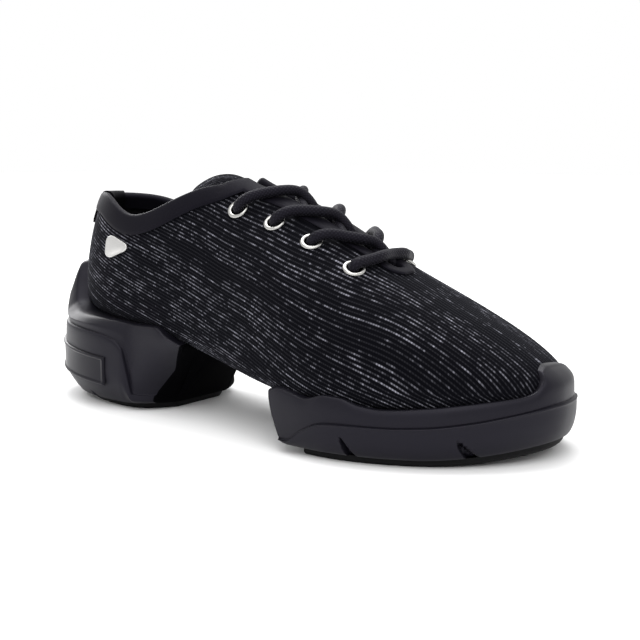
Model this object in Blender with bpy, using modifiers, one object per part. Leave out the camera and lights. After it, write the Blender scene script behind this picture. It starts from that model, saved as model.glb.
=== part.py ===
"""A split-sole dance sneaker for the right foot, standing empty on the floor.

+X runs to the toe, -Y to the outer (lateral) side and +Z up. The origin is on the floor, under the
middle of the forefoot pad, where a dancer turns. Sizes are in metres, written as a number times mm.
"""

import math

import bmesh
import bpy
import numpy as np

mm = 0.001

# Driving sizes of the last
upper_length = 250 * mm  # back of the heel to the tip of the toe, over the fabric
ball_width = 94 * mm
heel_height = 38 * mm  # floor to the underside of the upper at the heel
side_rise = 16 * mm  # underside of the upper to its widest line
instep_height = 108 * mm  # floor to the top of the throat
collar_height = 98 * mm  # floor to the back of the collar
crown_flat_share = 0.40  # behind this station the crown is only a guide, and sections don't follow its slope
origin_share = 0.70  # where the turning pad's middle lies along the upper

# Walls, bands and gaps
fabric = 2.0 * mm
clearance = 0.3 * mm
tape_clearance = 0.4 * mm  # the tape lies on curves both ways
tape = 0.8 * mm
tape_width = 8.0 * mm
throat_top_gap = 11 * mm
throat_end_gap = 9 * mm
throat_end_share = 0.735
underside_opening = 0.72  # reach of the open underside towards the widest line
heel_opening_share = 0.295  # the underside is open behind this station
forefoot_opening_share = 0.645  # and in front of this one

# Tongue, insole and heel tab
tongue_thickness = 2.0 * mm
tongue_drop = 2.3 * mm  # room for the eyelets' backs, between the upper and the tongue
tongue_back_share = 0.335
tongue_bend_share = 0.425  # behind this station the tongue stands free, straight on
tongue_rise = 0.30  # its rise there, over the length
tongue_half_width = 22 * mm
insole_thickness = 3.5 * mm
heel_tab_width = 16 * mm
heel_tab_drop = 15 * mm

# Eyelets, lace and badge
eyelet_count = 4
eyelet_first_share = 0.456
eyelet_pitch = 20.2 * mm
eyelet_to_edge_back = 19.0 * mm
eyelet_to_edge_front = 16.5 * mm
eyelet_bore = 5.0 * mm
eyelet_flange = 9.6 * mm
eyelet_metal = 0.6 * mm
barrel_wall = 0.5 * mm
lace = 4.8 * mm
badge_share = 0.172
badge_below_edge = 14.8 * mm  # from the collar's edge down to its middle
badge_length = 15.5 * mm
badge_height = 11 * mm
badge_metal = 0.9 * mm

# Soles
tread = 3.2 * mm
heel_tread_end_share = 0.272
forefoot_tread_end_share = 0.668
tread_inset = 0.2 * mm
tread_foot_inset = 1.4 * mm
side_bulge = 5.0 * mm  # how far the soles' sides stand out from the upper, where a level's share is 1
breast_radius = 20 * mm  # rounding of the heel's front corners, seen from above
breast_narrowing = 0.75
forefoot_wall = 27 * mm  # floor to the rim of the forefoot sole, where the rim share is 1
heel_wall = 66 * mm  # floor to the peak at the back of the heel cup
toe_spring = 4.5 * mm
toe_spring_share = 0.85  # the forefoot is flat up to this station
flex_groove = 1.2 * mm
slit_depth = 3.0 * mm
slit_width = 3.6 * mm
slit_height = 9.0 * mm
plate_raise = 0.9 * mm
plate_low = 13.5 * mm
plate_height = 13.5 * mm
plate_from_share = 0.003
plate_to_share = 0.160


def table(names, rows):
    """Rows of numbers under named columns."""
    return dict(zip(names.split(), np.array(rows, float).T))


# The last seen from above. station: share of the length. lateral, medial: half widths, and axis: sideways
# shift of the middle, as shares of the ball width. spine: where that section crosses the middle, as a station.
plan = table(
    "station lateral medial axis spine",
    [
        (0.00, 0.000, 0.000, 0.00, 0.140),
        (0.02, 0.135, 0.135, 0.00, 0.146),
        (0.07, 0.245, 0.240, 0.00, 0.165),
        (0.15, 0.315, 0.305, 0.00, 0.205),
        (0.25, 0.335, 0.305, 0.00, 0.275),
        (0.37, 0.340, 0.290, -0.01, 0.380),
        (0.50, 0.395, 0.325, -0.015, 0.500),
        (0.62, 0.465, 0.415, -0.015, 0.610),
        (0.71, 0.485, 0.475, -0.015, 0.690),
        (0.80, 0.460, 0.475, 0.01, 0.760),
        (0.88, 0.375, 0.425, 0.03, 0.810),
        (0.94, 0.275, 0.325, 0.06, 0.838),
        (0.98, 0.155, 0.200, 0.08, 0.852),
        (1.00, 0.000, 0.000, 0.085, 0.860),
    ],
)

# The last seen from the side. bottom: share of the heel height. widest: share of the side rise.
# crown: share of the instep height (behind the throat it is only the last's cone, which the collar cuts off).
# shoulder, feather: how square the section is above and below its widest line.
profile = table(
    "station bottom widest crown shoulder feather",
    [
        (0.00, 1.00, 1.15, 1.15, 1.70, 3.2),
        (0.15, 0.985, 1.15, 1.16, 1.70, 3.2),
        (0.20, 0.95, 1.12, 1.25, 1.72, 3.2),
        (0.25, 0.90, 1.10, 1.27, 1.75, 3.2),
        (0.33, 0.79, 1.05, 1.15, 1.85, 3.0),
        (0.42, 0.65, 1.00, 1.00, 1.95, 2.8),
        (0.52, 0.52, 0.95, 0.91, 2.05, 2.8),
        (0.62, 0.45, 0.90, 0.80, 2.15, 3.0),
        (0.70, 0.42, 0.88, 0.70, 2.20, 3.2),
        (0.78, 0.41, 0.85, 0.600, 2.30, 3.2),
        (0.86, 0.42, 0.78, 0.505, 2.40, 3.2),
        (0.94, 0.45, 0.68, 0.42, 2.50, 3.2),
        (1.00, 0.49, 0.58, 0.36, 2.50, 3.2),
    ],
)

# Height of the collar's edge. Its shares are of the collar height behind, and of the instep height by the throat:
# instep says how much. In front of the throat's top it leaves the shoe.
topline = table(
    "station lateral medial instep",
    [
        (0.00, 1.000, 1.000, 0.0),
        (0.10, 0.990, 0.970, 0.0),
        (0.15, 0.945, 0.930, 0.0),
        (0.20, 0.910, 0.900, 0.0),
        (0.25, 0.930, 0.915, 0.0),
        (0.30, 0.955, 0.936, 0.3),
        (0.36, 0.975, 0.971, 0.7),
        (0.41, 0.985, 0.989, 1.0),
        (0.46, 1.107, 1.107, 1.0),
        (0.60, 1.543, 1.543, 1.0),
        (1.00, 2.178, 2.178, 1.0),
    ],
)

# Upper edge of each sole and the line of the step in its side, as shares of that sole's height at its side.
heel_lines = table(
    "station rim step",
    [
        (0.000, 1.00, 0.50),
        (0.004, 0.88, 0.51),
        (0.012, 0.70, 0.52),
        (0.040, 0.640, 0.54),
        (0.140, 0.635, 0.545),
        (0.190, 0.625, 0.51),
        (0.213, 0.620, 0.44),
        (0.224, 0.620, 0.28),
        (0.234, 0.620, 0.12),
        (0.285, 0.620, 0.11),
        (0.320, 0.555, 0.11),
        (0.360, 0.510, 0.11),
    ],
)
forefoot_lines = table(
    "station rim step",
    [
        (0.600, 0.92, 0.17),
        (0.620, 0.96, 0.17),
        (0.650, 0.925, 0.20),
        (0.680, 0.875, 0.40),
        (0.717, 0.955, 0.55),
        (0.744, 0.940, 0.57),
        (0.775, 0.850, 0.575),
        (0.805, 0.815, 0.575),
        (0.865, 0.855, 0.60),
        (0.920, 0.920, 0.67),
        (0.950, 0.970, 0.73),
        (0.966, 1.020, 0.77),
        (0.978, 1.210, 0.80),
        (0.986, 1.330, 0.83),
        (1.000, 1.370, 0.85),
    ],
)

# The soles' sides from the tread up. rise: share of the way between the two lines named by part (0: tread to
# step, 1: step to rim). out: how far outside the upper, as a share of the side bulge. end: the station where that
# level stops at the arch.
heel_levels = table(
    "part rise out end",
    [
        (0, 0.00, 0.52, 0.283),
        (0, 0.18, 0.92, 0.285),
        (0, 0.45, 1.18, 0.286),
        (0, 1.00, 1.00, 0.288),
        (1, 0.02, 0.78, 0.289),
        (1, 0.50, 0.58, 0.322),
        (1, 0.93, 0.40, 0.352),
        (1, 1.00, 0.14, 0.357),
    ],
)
forefoot_levels = table(
    "part rise out end",
    [
        (0, 0.00, 0.44, 0.650),
        (0, 0.30, 0.82, 0.638),
        (0, 1.00, 0.94, 0.622),
        (1, 0.06, 0.76, 0.618),
        (1, 0.85, 0.58, 0.603),
        (1, 1.00, 0.12, 0.600),
    ],
)

def spline(knots, values, at):
    """Natural cubic through the knots, held constant outside them."""
    count = len(knots)
    step = np.diff(knots)
    matrix = np.eye(count)
    right = np.zeros(count)
    for i in range(1, count - 1):
        matrix[i, i - 1 : i + 2] = step[i - 1], 2 * (step[i - 1] + step[i]), step[i]
        right[i] = 6 * ((values[i + 1] - values[i]) / step[i] - (values[i] - values[i - 1]) / step[i - 1])
    bend = np.linalg.solve(matrix, right)
    at = np.clip(at, knots[0], knots[-1])
    i = np.clip(np.searchsorted(knots, at) - 1, 0, count - 2)
    t = at - knots[i]
    slope = (values[i + 1] - values[i]) / step[i] - step[i] * (2 * bend[i] + bend[i + 1]) / 6
    return values[i] + t * slope + t**2 * bend[i] / 2 + t**3 * (bend[i + 1] - bend[i]) / (6 * step[i])


def wave(knots, values, at):
    """Smooth curve through the knots that never swings past them."""
    slope = np.diff(values) / np.diff(knots)
    before, after = slope[:-1], slope[1:]
    same = before * after > 0
    inner = np.where(same, 2 * before * after / np.where(same, before + after, 1), 0)
    ends = np.concatenate([[0], inner, [0]])
    i = np.clip(np.searchsorted(knots, at) - 1, 0, len(knots) - 2)
    width = knots[i + 1] - knots[i]
    t = np.clip((at - knots[i]) / width, 0, 1)
    rise = values[i + 1] - values[i]
    bend = (ends[i] * (1 - t) - ends[i + 1] * t) * width
    return values[i] + rise * t**2 * (3 - 2 * t) + t * (1 - t) * bend


def turn_of(station):
    """A station as an angle from 0 at the heel to pi at the toe, in which round ends are smooth."""
    return np.arccos(np.clip(1 - 2 * np.asarray(station, float), -1, 1))


def from_plan(column, turn):
    return spline(turn_of(plan["station"]), plan[column], turn)


def from_profile(column, station):
    return spline(profile["station"], profile[column], station)


def x_of(station):
    return (station - origin_share) * upper_length


def station_of(x):
    return x / upper_length + origin_share


def bottom_at(x):
    return from_profile("bottom", station_of(x)) * heel_height


def crown_slope(x):
    """Fall of the crown's line along the foot. Sections that run forward follow it, so the toe is smooth."""
    small = 2 * mm
    station = np.clip(station_of(x), crown_flat_share, 1)
    ahead = from_profile("crown", station + small / upper_length)
    behind = from_profile("crown", station - small / upper_length)
    return np.where(station > crown_flat_share, (ahead - behind) / (2 * small) * instep_height, 0)


def outline(side, turn):
    """Widest line of the upper from above. side: -1 lateral, 1 medial."""
    side, turn = np.broadcast_arrays(np.asarray(side, float), turn)
    station = (1 - np.cos(turn)) / 2
    width = np.where(side < 0, from_plan("lateral", turn), from_plan("medial", turn))
    return np.stack([x_of(station), (from_plan("axis", turn) + side * width) * ball_width], -1)


def spine(turn):
    """The point on the middle line that a section runs to."""
    station = from_plan("spine", turn)
    return np.stack([x_of(station), from_plan("axis", turn_of(station)) * ball_width], -1)


def section(side, turn):
    """What one section of the last is made of."""
    side, turn = np.broadcast_arrays(np.asarray(side, float), turn)
    rim = outline(side, turn)
    middle = spine(turn)
    station = station_of(rim[..., 0])
    inner = station_of(middle[..., 0])
    widest = bottom_at(rim[..., 0]) + from_profile("widest", station) * side_rise
    crown = from_profile("crown", inner) * instep_height
    return rim, middle, widest, crown, from_profile("shoulder", inner), from_profile("feather", station)


def last_point(side, turn, lift):
    """A point of the upper's outside. lift: -pi/2 under the middle, 0 at the widest line, pi/2 at the crown."""
    side, turn, lift = np.broadcast_arrays(np.asarray(side, float), turn, lift)
    rim, middle, widest, crown, shoulder, feather = section(side, turn)
    power = 2 / np.where(lift < 0, feather, shoulder)
    reach = np.clip(np.cos(lift), 0, 1) ** power
    height = np.clip(np.abs(np.sin(lift)), 0, 1) ** power
    place = middle + reach[..., None] * (rim - middle)
    base = bottom_at(place[..., 0])
    low = base + from_profile("widest", station_of(rim[..., 0])) * side_rise * (1 - height)
    high = widest + (crown - widest + crown_slope(middle[..., 0]) * (place[..., 0] - middle[..., 0])) * height
    return np.concatenate([place, np.where(lift < 0, low, high)[..., None]], -1)


def last_normal(side, turn, lift):
    """The outward direction there."""
    small = 0.004
    side, turn, lift = np.broadcast_arrays(np.asarray(side, float), turn, lift)
    turn = np.clip(turn, 3 * small, math.pi - 3 * small)
    lift = np.clip(lift, -math.pi / 2 + 3 * small, math.pi / 2 - 3 * small)
    lift = np.where(np.abs(lift) < 3 * small, np.where(lift < 0, -3, 3) * small, lift)
    along = last_point(side, turn + small, lift) - last_point(side, turn - small, lift)
    around = last_point(side, turn, lift + small) - last_point(side, turn, lift - small)
    normal = np.cross(along, around) * side[..., None] * -1
    return normal / np.linalg.norm(normal, axis=-1, keepdims=True)


def turn_where_spine(station):
    """The turn whose section runs to this station of the middle line."""
    turns = np.linspace(0, math.pi, 2001)
    return np.interp(station, from_plan("spine", turns), turns)


def throat_half_gap(station):
    """Half the width of the throat, down to nothing at its round front end."""
    corner = topline["station"][7]
    share = np.clip((station - corner) / (throat_end_share - corner), 0, 1)
    half = (throat_top_gap + (throat_end_gap - throat_top_gap) * share) / 2
    past = np.clip(1 + (station - throat_end_share) * upper_length / (throat_end_gap / 2), 0, 1)
    return half * np.sqrt(1 - past**2)


def edge_lift(side, turn):
    """Where a section ends at the collar or the throat. In front of the throat it runs on to the crown."""
    side, turn = np.broadcast_arrays(np.asarray(side, float), turn)
    rim, middle, widest, crown, shoulder, _ = section(side, turn)
    rule = collar_height + (instep_height - collar_height) * topline["instep"]
    words = ("lateral", "medial")
    heights = [spline(topline["station"], topline[word] * rule, station_of(rim[..., 0])) for word in words]
    height = np.where(side < 0, *heights)
    level = np.clip((height - widest) / (crown - widest), 0, None) ** (shoulder / 2)
    collar = np.arcsin(np.clip(level, 0, 1)) + 3 * np.clip(level - 1, 0, None)
    inner = station_of(middle[..., 0])
    width = np.maximum(np.linalg.norm(rim - middle, axis=-1), mm)
    throat = np.arccos(np.clip(throat_half_gap(inner) / width, 0, 1) ** (shoulder / 2))
    both = -np.log(np.exp(-14 * collar) + np.exp(-14 * throat)) / 14
    return np.where(inner >= throat_end_share - 1e-6, math.pi / 2, np.minimum(both, math.pi / 2))


def nearest(point, side, turn, lift):
    """The nearest place on the outside, found by stepping in the tangent plane. Crosses the crown if it must."""
    small = 0.002
    for _ in range(8):
        place = spine(turn)
        side = np.where(lift > 1.2, np.where(point[..., 1] < place[..., 1], -1.0, 1.0), side)
        here = last_point(side, turn, lift)
        along = (last_point(side, turn + small, lift) - last_point(side, turn - small, lift)) / (2 * small)
        around = (here - last_point(side, turn, lift - small)) / small
        gap = point - here
        aa = (along * along).sum(-1)
        bb = (around * around).sum(-1)
        ab = (along * around).sum(-1)
        ga = (gap * along).sum(-1)
        gb = (gap * around).sum(-1)
        ground = np.maximum(aa * bb - ab**2, 1e-14)
        turn = np.clip(turn + np.clip((ga * bb - gb * ab) / ground, -0.2, 0.2), 0.001, math.pi - 0.001)
        lift = np.clip(lift + np.clip((gb * aa - ga * ab) / ground, -0.3, 0.3), -1.5, math.pi / 2)
    return side, turn, lift


def edge_frame(side, turn):
    """A point of the topline, the way into the fabric square to it, and the way out of the surface."""
    side, turn = np.broadcast_arrays(np.asarray(side, float), turn)
    small = 0.01
    at = last_point(side, turn, edge_lift(side, turn))
    ahead = last_point(side, turn + small, edge_lift(side, turn + small))
    behind = last_point(side, np.maximum(turn - small, 0), edge_lift(side, np.maximum(turn - small, 0)))
    run = (ahead - behind) / np.linalg.norm(ahead - behind, axis=-1, keepdims=True)
    out = last_normal(side, turn, np.minimum(edge_lift(side, turn), 1.5))
    into = np.cross(out, run) * side[..., None]
    return at, into / np.linalg.norm(into, axis=-1, keepdims=True), out


def below_edge(side, turn, distance):
    """Side, turn and lift of the place that lies this far below the topline."""
    at, into, _ = edge_frame(side, turn)
    return nearest(at + into * distance, side, turn, edge_lift(side, turn))


front_ribs = 12  # sections in front of the throat


def rib_turns():
    """Turns of the sections that the upper and the soles' form share, close together at the throat's corners."""
    radius = throat_end_gap / 2 / upper_length
    round_end = turn_where_spine(throat_end_share - radius * (1 - np.cos(np.linspace(math.pi / 2, 0, 5))))
    before, after = turn_of(topline["station"][6] - 0.01), turn_of(topline["station"][8] + 0.02)
    heel = np.linspace(0, before, 14)
    corner = np.linspace(before, after, 10)
    throat = np.linspace(after, round_end[0], 7)
    front = np.linspace(round_end[-1], math.pi, front_ribs + 1)
    return np.concatenate([heel[:-1], corner[:-1], throat[:-1], round_end, front[1:]])


ribs = rib_turns()
sides = np.array([-1.0, 1.0])


def low_lifts(turn):
    """Lifts from the middle of the underside to the widest line, with one on the edge of the opening."""
    feather = from_profile("feather", (1 - np.cos(turn)) / 2)
    edge = -np.arccos(underside_opening ** (feather / 2))
    shares = np.array([0.0, 0.5, 1.0])
    under = -math.pi / 2 + (edge[..., None] + math.pi / 2) * shares
    return np.concatenate([under, edge[..., None] * np.array([0.68, 0.34, 0.0])], -1)


def high_lifts(side, turn, count=7):
    """Lifts from above the widest line to the topline, with two under the tape."""
    top = edge_lift(side, turn)
    reach = tape_width / 2
    speed = np.linalg.norm(last_point(side, turn, top - 0.05) - last_point(side, turn, top - 0.15), axis=-1) / 0.1
    first = top - reach / speed
    second = first - reach / speed
    shares = np.arange(1, count - 1) / (count - 2)
    return np.concatenate([second[..., None] * shares, first[..., None], top[..., None]], -1)


def offset_grid(lifts, distance):
    """Points of both sides over all ribs, moved out by the distance and matched along the middle line."""
    side = np.broadcast_to(sides[:, None, None], lifts.shape)
    turn = np.broadcast_to(ribs[None, :, None], lifts.shape)
    place = last_point(side, turn, lifts)
    out = last_normal(side, turn, lifts)
    middle = np.abs(np.abs(lifts) - math.pi / 2) < 1e-6
    middle[:, [0, -1]] = True
    shared = out.mean(0, keepdims=True)
    shared = shared * np.array([1.0, 0.0, 1.0])
    shared = shared / np.linalg.norm(shared, axis=-1, keepdims=True)
    both = np.where(middle.all(0)[None, ..., None], shared, out)
    return place + both * np.asarray(distance)[..., None]


def grid_faces(rows, columns, first=0, turned=False):
    """Quads over a grid of points that are numbered along the columns."""
    i, j = np.meshgrid(np.arange(rows - 1), np.arange(columns - 1), indexing="ij")
    a = first + i * columns + j
    quads = np.stack([a, a + columns, a + columns + 1, a + 1], -1).reshape(-1, 4)
    return quads[:, ::-1] if turned else quads


# Finishes: color, roughness, metallic
knit = ((0.030, 0.030, 0.035), 0.90)
satin = ((0.015, 0.015, 0.016), 0.45)
lining = ((0.020, 0.020, 0.020), 0.95)
foam = ((0.012, 0.012, 0.013), 0.55)
rubber = ((0.012, 0.012, 0.013), 0.70)
braid = ((0.020, 0.020, 0.020), 0.85)
metal = ((0.700, 0.700, 0.720), 0.30, 1.0)


# Objects
def clear_scene():
    for item in list(bpy.data.objects):
        bpy.data.objects.remove(item, do_unlink=True)


def collection(name):
    made = bpy.data.collections.new(name)
    bpy.context.scene.collection.children.link(made)
    return made


def finish(mesh, color, roughness, metallic=0.0):
    """Gives a mesh a material of its own."""
    made = bpy.data.materials.new(mesh.name + "_finish")
    made.use_nodes = True
    shader = made.node_tree.nodes["Principled BSDF"]
    shader.inputs["Base Color"].default_value = (*color, 1)
    shader.inputs["Roughness"].default_value = roughness
    shader.inputs["Metallic"].default_value = metallic
    mesh.materials.append(made)


def add_object(name, points, faces, where, look=None, closed=True):
    """A mesh object from points and faces, with doubles and flat faces gone."""
    mesh = bpy.data.meshes.new(name)
    places = [tuple(p) for p in np.asarray(points).reshape(-1, 3)]
    mesh.from_pydata(places, [], [tuple(int(i) for i in f) for f in faces])
    work = bmesh.new()
    work.from_mesh(mesh)
    bmesh.ops.remove_doubles(work, verts=work.verts, dist=0.00002)
    bmesh.ops.dissolve_degenerate(work, dist=0.00001, edges=work.edges)
    if closed:
        bmesh.ops.recalc_face_normals(work, faces=work.faces)
    work.to_mesh(mesh)
    work.free()
    made = bpy.data.objects.new(name, mesh)
    where.objects.link(made)
    if look:
        finish(mesh, *look)
    return made


def sheet(name, outer, inner, where, look):
    """Closed solid between two grids of the same shape."""
    rows, columns = outer.shape[:2]
    count = rows * columns
    faces = [*grid_faces(rows, columns), *grid_faces(rows, columns, count, True)]
    ring = [j for j in range(columns)]
    ring += [i * columns + columns - 1 for i in range(1, rows)]
    ring += [(rows - 1) * columns + j for j in range(columns - 2, -1, -1)]
    ring += [i * columns for i in range(rows - 2, 0, -1)]
    for k, a in enumerate(ring):
        b = ring[(k + 1) % len(ring)]
        faces.append((a, b, b + count, a + count))
    return add_object(name, np.concatenate([outer.reshape(-1, 3), inner.reshape(-1, 3)]), faces, where, look)


def loop_solid(name, rings, where, look, closed=True):
    """Solid swept through rings of points. closed: the last ring joins the first, or else both ends are capped."""
    count, corners = rings.shape[:2]
    faces = []
    for k in range(count if closed else count - 1):
        for c in range(corners):
            a = k * corners + c
            b = k * corners + (c + 1) % corners
            shift = ((k + 1) % count - k) * corners
            faces.append((a, b, b + shift, a + shift))
    if not closed:
        faces.append(tuple(range(corners)))
        faces.append(tuple(range((count - 1) * corners, count * corners)))
    return add_object(name, rings, faces, where, look)


def cut(target, cutter, name, operation="DIFFERENCE"):
    step = target.modifiers.new(name, "BOOLEAN")
    step.operation = operation
    step.solver = "EXACT"
    step.object = cutter


def tube(name, path, diameter, where, look=None):
    """Round cord along a path, as a mesh with flat ends."""
    curve = bpy.data.curves.new(name, "CURVE")
    curve.dimensions = "3D"
    curve.bevel_depth = diameter / 2
    curve.bevel_resolution = 2
    curve.use_fill_caps = True
    line = curve.splines.new("POLY")
    line.points.add(len(path) - 1)
    line.points.foreach_set("co", np.concatenate([path, np.ones((len(path), 1))], 1).ravel())
    holder = bpy.data.objects.new(name + "_path", curve)
    where.objects.link(holder)
    bpy.context.view_layer.update()
    mesh = bpy.data.meshes.new_from_object(holder.evaluated_get(bpy.context.evaluated_depsgraph_get()))
    bpy.data.objects.remove(holder, do_unlink=True)
    work = bmesh.new()
    work.from_mesh(mesh)
    bmesh.ops.remove_doubles(work, verts=work.verts, dist=0.00002)
    bmesh.ops.recalc_face_normals(work, faces=work.faces)
    work.to_mesh(mesh)
    work.free()
    made = bpy.data.objects.new(name, mesh)
    where.objects.link(made)
    mesh.materials.clear()
    if look:
        finish(mesh, *look)
    return made


def smooth_path(points, count):
    """Rounds a few points into an even path."""
    points = np.asarray(points)
    along = np.concatenate([[0], np.cumsum(np.linalg.norm(np.diff(points, axis=0), axis=1))])
    at = np.linspace(0, along[-1], count)
    return np.stack([spline(along, points[:, k], at) for k in range(3)], -1)


# Upper
def upper_grid(distance=0.0):
    low = np.broadcast_to(low_lifts(ribs)[None], (2, len(ribs), 6))
    high = high_lifts(sides[:, None], ribs[None, :])
    return offset_grid(np.concatenate([low, high], -1), distance)


def open_underneath(station):
    return (station < heel_opening_share) | (station > forefoot_opening_share)


def build_upper(parts, cutters):
    points = upper_grid()
    _, count, rows, _ = points.shape
    station = (1 - np.cos(ribs)) / 2
    opened = open_underneath(station)
    faces = []
    for s in range(2):
        for quad in grid_faces(count, rows, s * count * rows, s == 1):
            i, j = divmod(int(min(quad)) - s * count * rows, rows)
            if opened[i] and opened[i + 1] and j < 2:
                continue
            faces.append(quad)
    upper = add_object("upper", points, faces, parts, knit, closed=False)
    wall = upper.modifiers.new("wall", "SOLIDIFY")
    wall.thickness = fabric
    wall.offset = -1
    holes = []
    radius = eyelet_bore / 2 + barrel_wall + clearance
    for side in sides:
        for at, out in eyelet_places(side):
            holes.append(ring_rows(at, out, [(radius, -2 * fabric), (radius, 1.5 * fabric)]))
    drill = add_many("eyelet_drill", holes, cutters)
    cut(upper, drill, "eyelet holes")
    return upper


def square_to(out):
    """Two directions square to this one."""
    first = np.cross(out, (0.0, 1.0, 0.0))
    first /= np.linalg.norm(first)
    return first, np.cross(out, first)


def ring_rows(at, out, profile, count=10):
    """Rings of points about an axis. profile: radius and height of each."""
    first, second = square_to(out)
    turns = np.arange(count) * 2 * math.pi / count
    round_ = np.cos(turns)[:, None] * first + np.sin(turns)[:, None] * second
    return np.stack([at + out * height + round_ * radius for radius, height in profile])


def add_many(name, stacks, where):
    """One mesh from several capped stacks of rings."""
    points = []
    faces = []
    for rings in stacks:
        count, corners = rings.shape[:2]
        first = sum(len(p) for p in points)
        points.append(rings.reshape(-1, 3))
        for k in range(count - 1):
            for c in range(corners):
                a = first + k * corners + c
                b = first + k * corners + (c + 1) % corners
                faces.append((a, b, b + corners, a + corners))
        faces.append(tuple(range(first, first + corners)))
        faces.append(tuple(range(first + (count - 1) * corners, first + count * corners)))
    return add_object(name, np.concatenate(points), faces, where)


# Eyelets and lace
def eyelet_places(side):
    """Centre and outward direction of each eyelet of one side, back to front."""
    places = []
    for k in range(eyelet_count):
        turn = turn_where_spine(eyelet_first_share + k * eyelet_pitch / upper_length)
        share = k / (eyelet_count - 1)
        distance = eyelet_to_edge_back + (eyelet_to_edge_front - eyelet_to_edge_back) * share
        where = below_edge(np.array(side), np.array(turn), distance)
        places.append((last_point(*where), last_normal(*where)))
    return places


def build_eyelets(parts, look):
    bore = eyelet_bore / 2
    barrel = bore + barrel_wall
    rim = clearance + eyelet_metal
    back = -(fabric + clearance + eyelet_metal)
    profile = [
        (bore, back),
        (barrel, back),
        (barrel, clearance),
        (eyelet_flange / 2, clearance),
        (eyelet_flange / 2 - 0.5 * mm, rim),
        (barrel, rim + 0.1 * mm),
    ]
    for side, word in zip(sides, ("lateral", "medial")):
        for k, (at, out) in enumerate(eyelet_places(side)):
            rings = ring_rows(at, out, profile).transpose(1, 0, 2)
            loop_solid(f"eyelet_{word}_{k + 1}", rings, parts, look)


def over_throat(side, station, distance, height):
    """A point this far below the topline (or over the gap, if negative) and this high above the surface."""
    turn = np.array(turn_where_spine(station))
    side = np.array(side)
    if distance < 0:
        at, into, out = edge_frame(side, turn)
        return at + into * distance + out * height
    where = below_edge(side, turn, distance)
    return last_point(*where) + last_normal(*where) * height


def build_lace(parts, look):
    """The lace where it shows: a bar across the front eyelets, and a crossing ahead of each other pair."""
    ride = clearance + eyelet_metal + clearance + lace / 2 + 0.3 * mm
    over_tape = tape_clearance + tape + clearance + lace / 2 + 0.3 * mm
    first = eyelet_first_share
    pitch = eyelet_pitch / upper_length
    for k in range(eyelet_count - 1):
        station = first + k * pitch
        crown_turn = np.array(turn_where_spine(station + 0.60 * pitch))
        meet = last_point(np.array(-1.0), crown_turn, math.pi / 2) + np.array([0, 0, 1.8 * mm])
        tubes = []
        for side in sides:
            at, out = eyelet_places(side)[k]
            path = [
                at + out * ride,
                over_throat(side, station + 0.10 * pitch, tape_width * 0.9, over_tape),
                over_throat(side, station + 0.28 * pitch, tape_width * 0.2, over_tape),
                meet,
            ]
            tubes.append(tube(f"lace_crossing_{k + 1}", smooth_path(path, 9), lace, parts))
        tubes[0].name = f"lace_crossing_{k + 1}"
        join_tubes(tubes)
        finish(tubes[0].data, *look)
    station = first + (eyelet_count - 1) * pitch
    ends = [eyelet_places(side)[-1] for side in sides]
    path = [ends[0][0] + ends[0][1] * ride]
    path.append(over_throat(-1.0, station + 0.10 * pitch, tape_width * 0.9, over_tape))
    top = last_point(np.array(-1.0), np.array(turn_where_spine(station + 0.2 * pitch)), math.pi / 2)
    path.append(top + np.array([0, 0, over_tape]))
    path.append(over_throat(1.0, station + 0.10 * pitch, tape_width * 0.9, over_tape))
    path.append(ends[1][0] + ends[1][1] * ride)
    tube("lace_bar", smooth_path(path, 13), lace, parts, look)


def join_tubes(tubes):
    """Makes one solid of two tubes that run into each other."""
    keep, other = tubes
    cut(keep, other, "other strand", "UNION")
    bpy.context.view_layer.update()
    mesh = bpy.data.meshes.new_from_object(keep.evaluated_get(bpy.context.evaluated_depsgraph_get()))
    keep.modifiers.clear()
    mesh.name = keep.name
    keep.data = mesh
    bpy.data.objects.remove(other, do_unlink=True)


# Tape along the collar and the throat, and the tab over its back
def taped_edge(name, side, turn, depth_out, depth_in, lift_off, thickness, parts, look, closed):
    """A folded band over the topline: two legs along the fabric's faces and a bridge over its edge."""
    at, into, out = edge_frame(side, turn)
    outer = lift_off + thickness
    inner = fabric + lift_off

    def leg(distance, height):
        where = nearest(at + into * distance, side, turn, edge_lift(side, turn))
        return last_point(*where) + last_normal(*where) * height

    def over(distance, height):
        return at + into * distance + out * height

    rings = [
        leg(depth_out, lift_off),
        leg(depth_out, outer),
        leg(depth_out / 2, outer),
        over(0, outer),
        over(-outer, lift_off),
        over(-outer, -inner),
        over(0, -inner - thickness),
        leg(depth_in, -inner - thickness),
        leg(depth_in, -inner),
        over(-lift_off, -inner),
        over(-lift_off, lift_off),
        leg(depth_out / 2, lift_off),
    ]
    return loop_solid(name, np.stack(rings, 1), parts, look, closed)


def build_tape(parts, look):
    last = len(ribs) - front_ribs
    turn = np.concatenate([ribs[:last][::-1], ribs[1 : last - 1]])
    side = np.concatenate([-np.ones(last), np.ones(last - 2)])
    taped_edge("collar_binding", side, turn, tape_width, tape_width * 0.75, tape_clearance, tape, parts, look, True)
    half = np.interp(heel_tab_width / 2, np.abs(outline(1.0, ribs)[:8, 1]), ribs[:8])
    around = np.linspace(-half, half, 9)
    side = np.where(around < 0, -1.0, 1.0)
    lift_off = tape_clearance + tape + clearance
    inside_drop = heel_tab_drop * 0.8
    taped_edge("heel_tab", side, np.abs(around), heel_tab_drop, inside_drop, lift_off, tape, parts, look, False)


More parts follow.
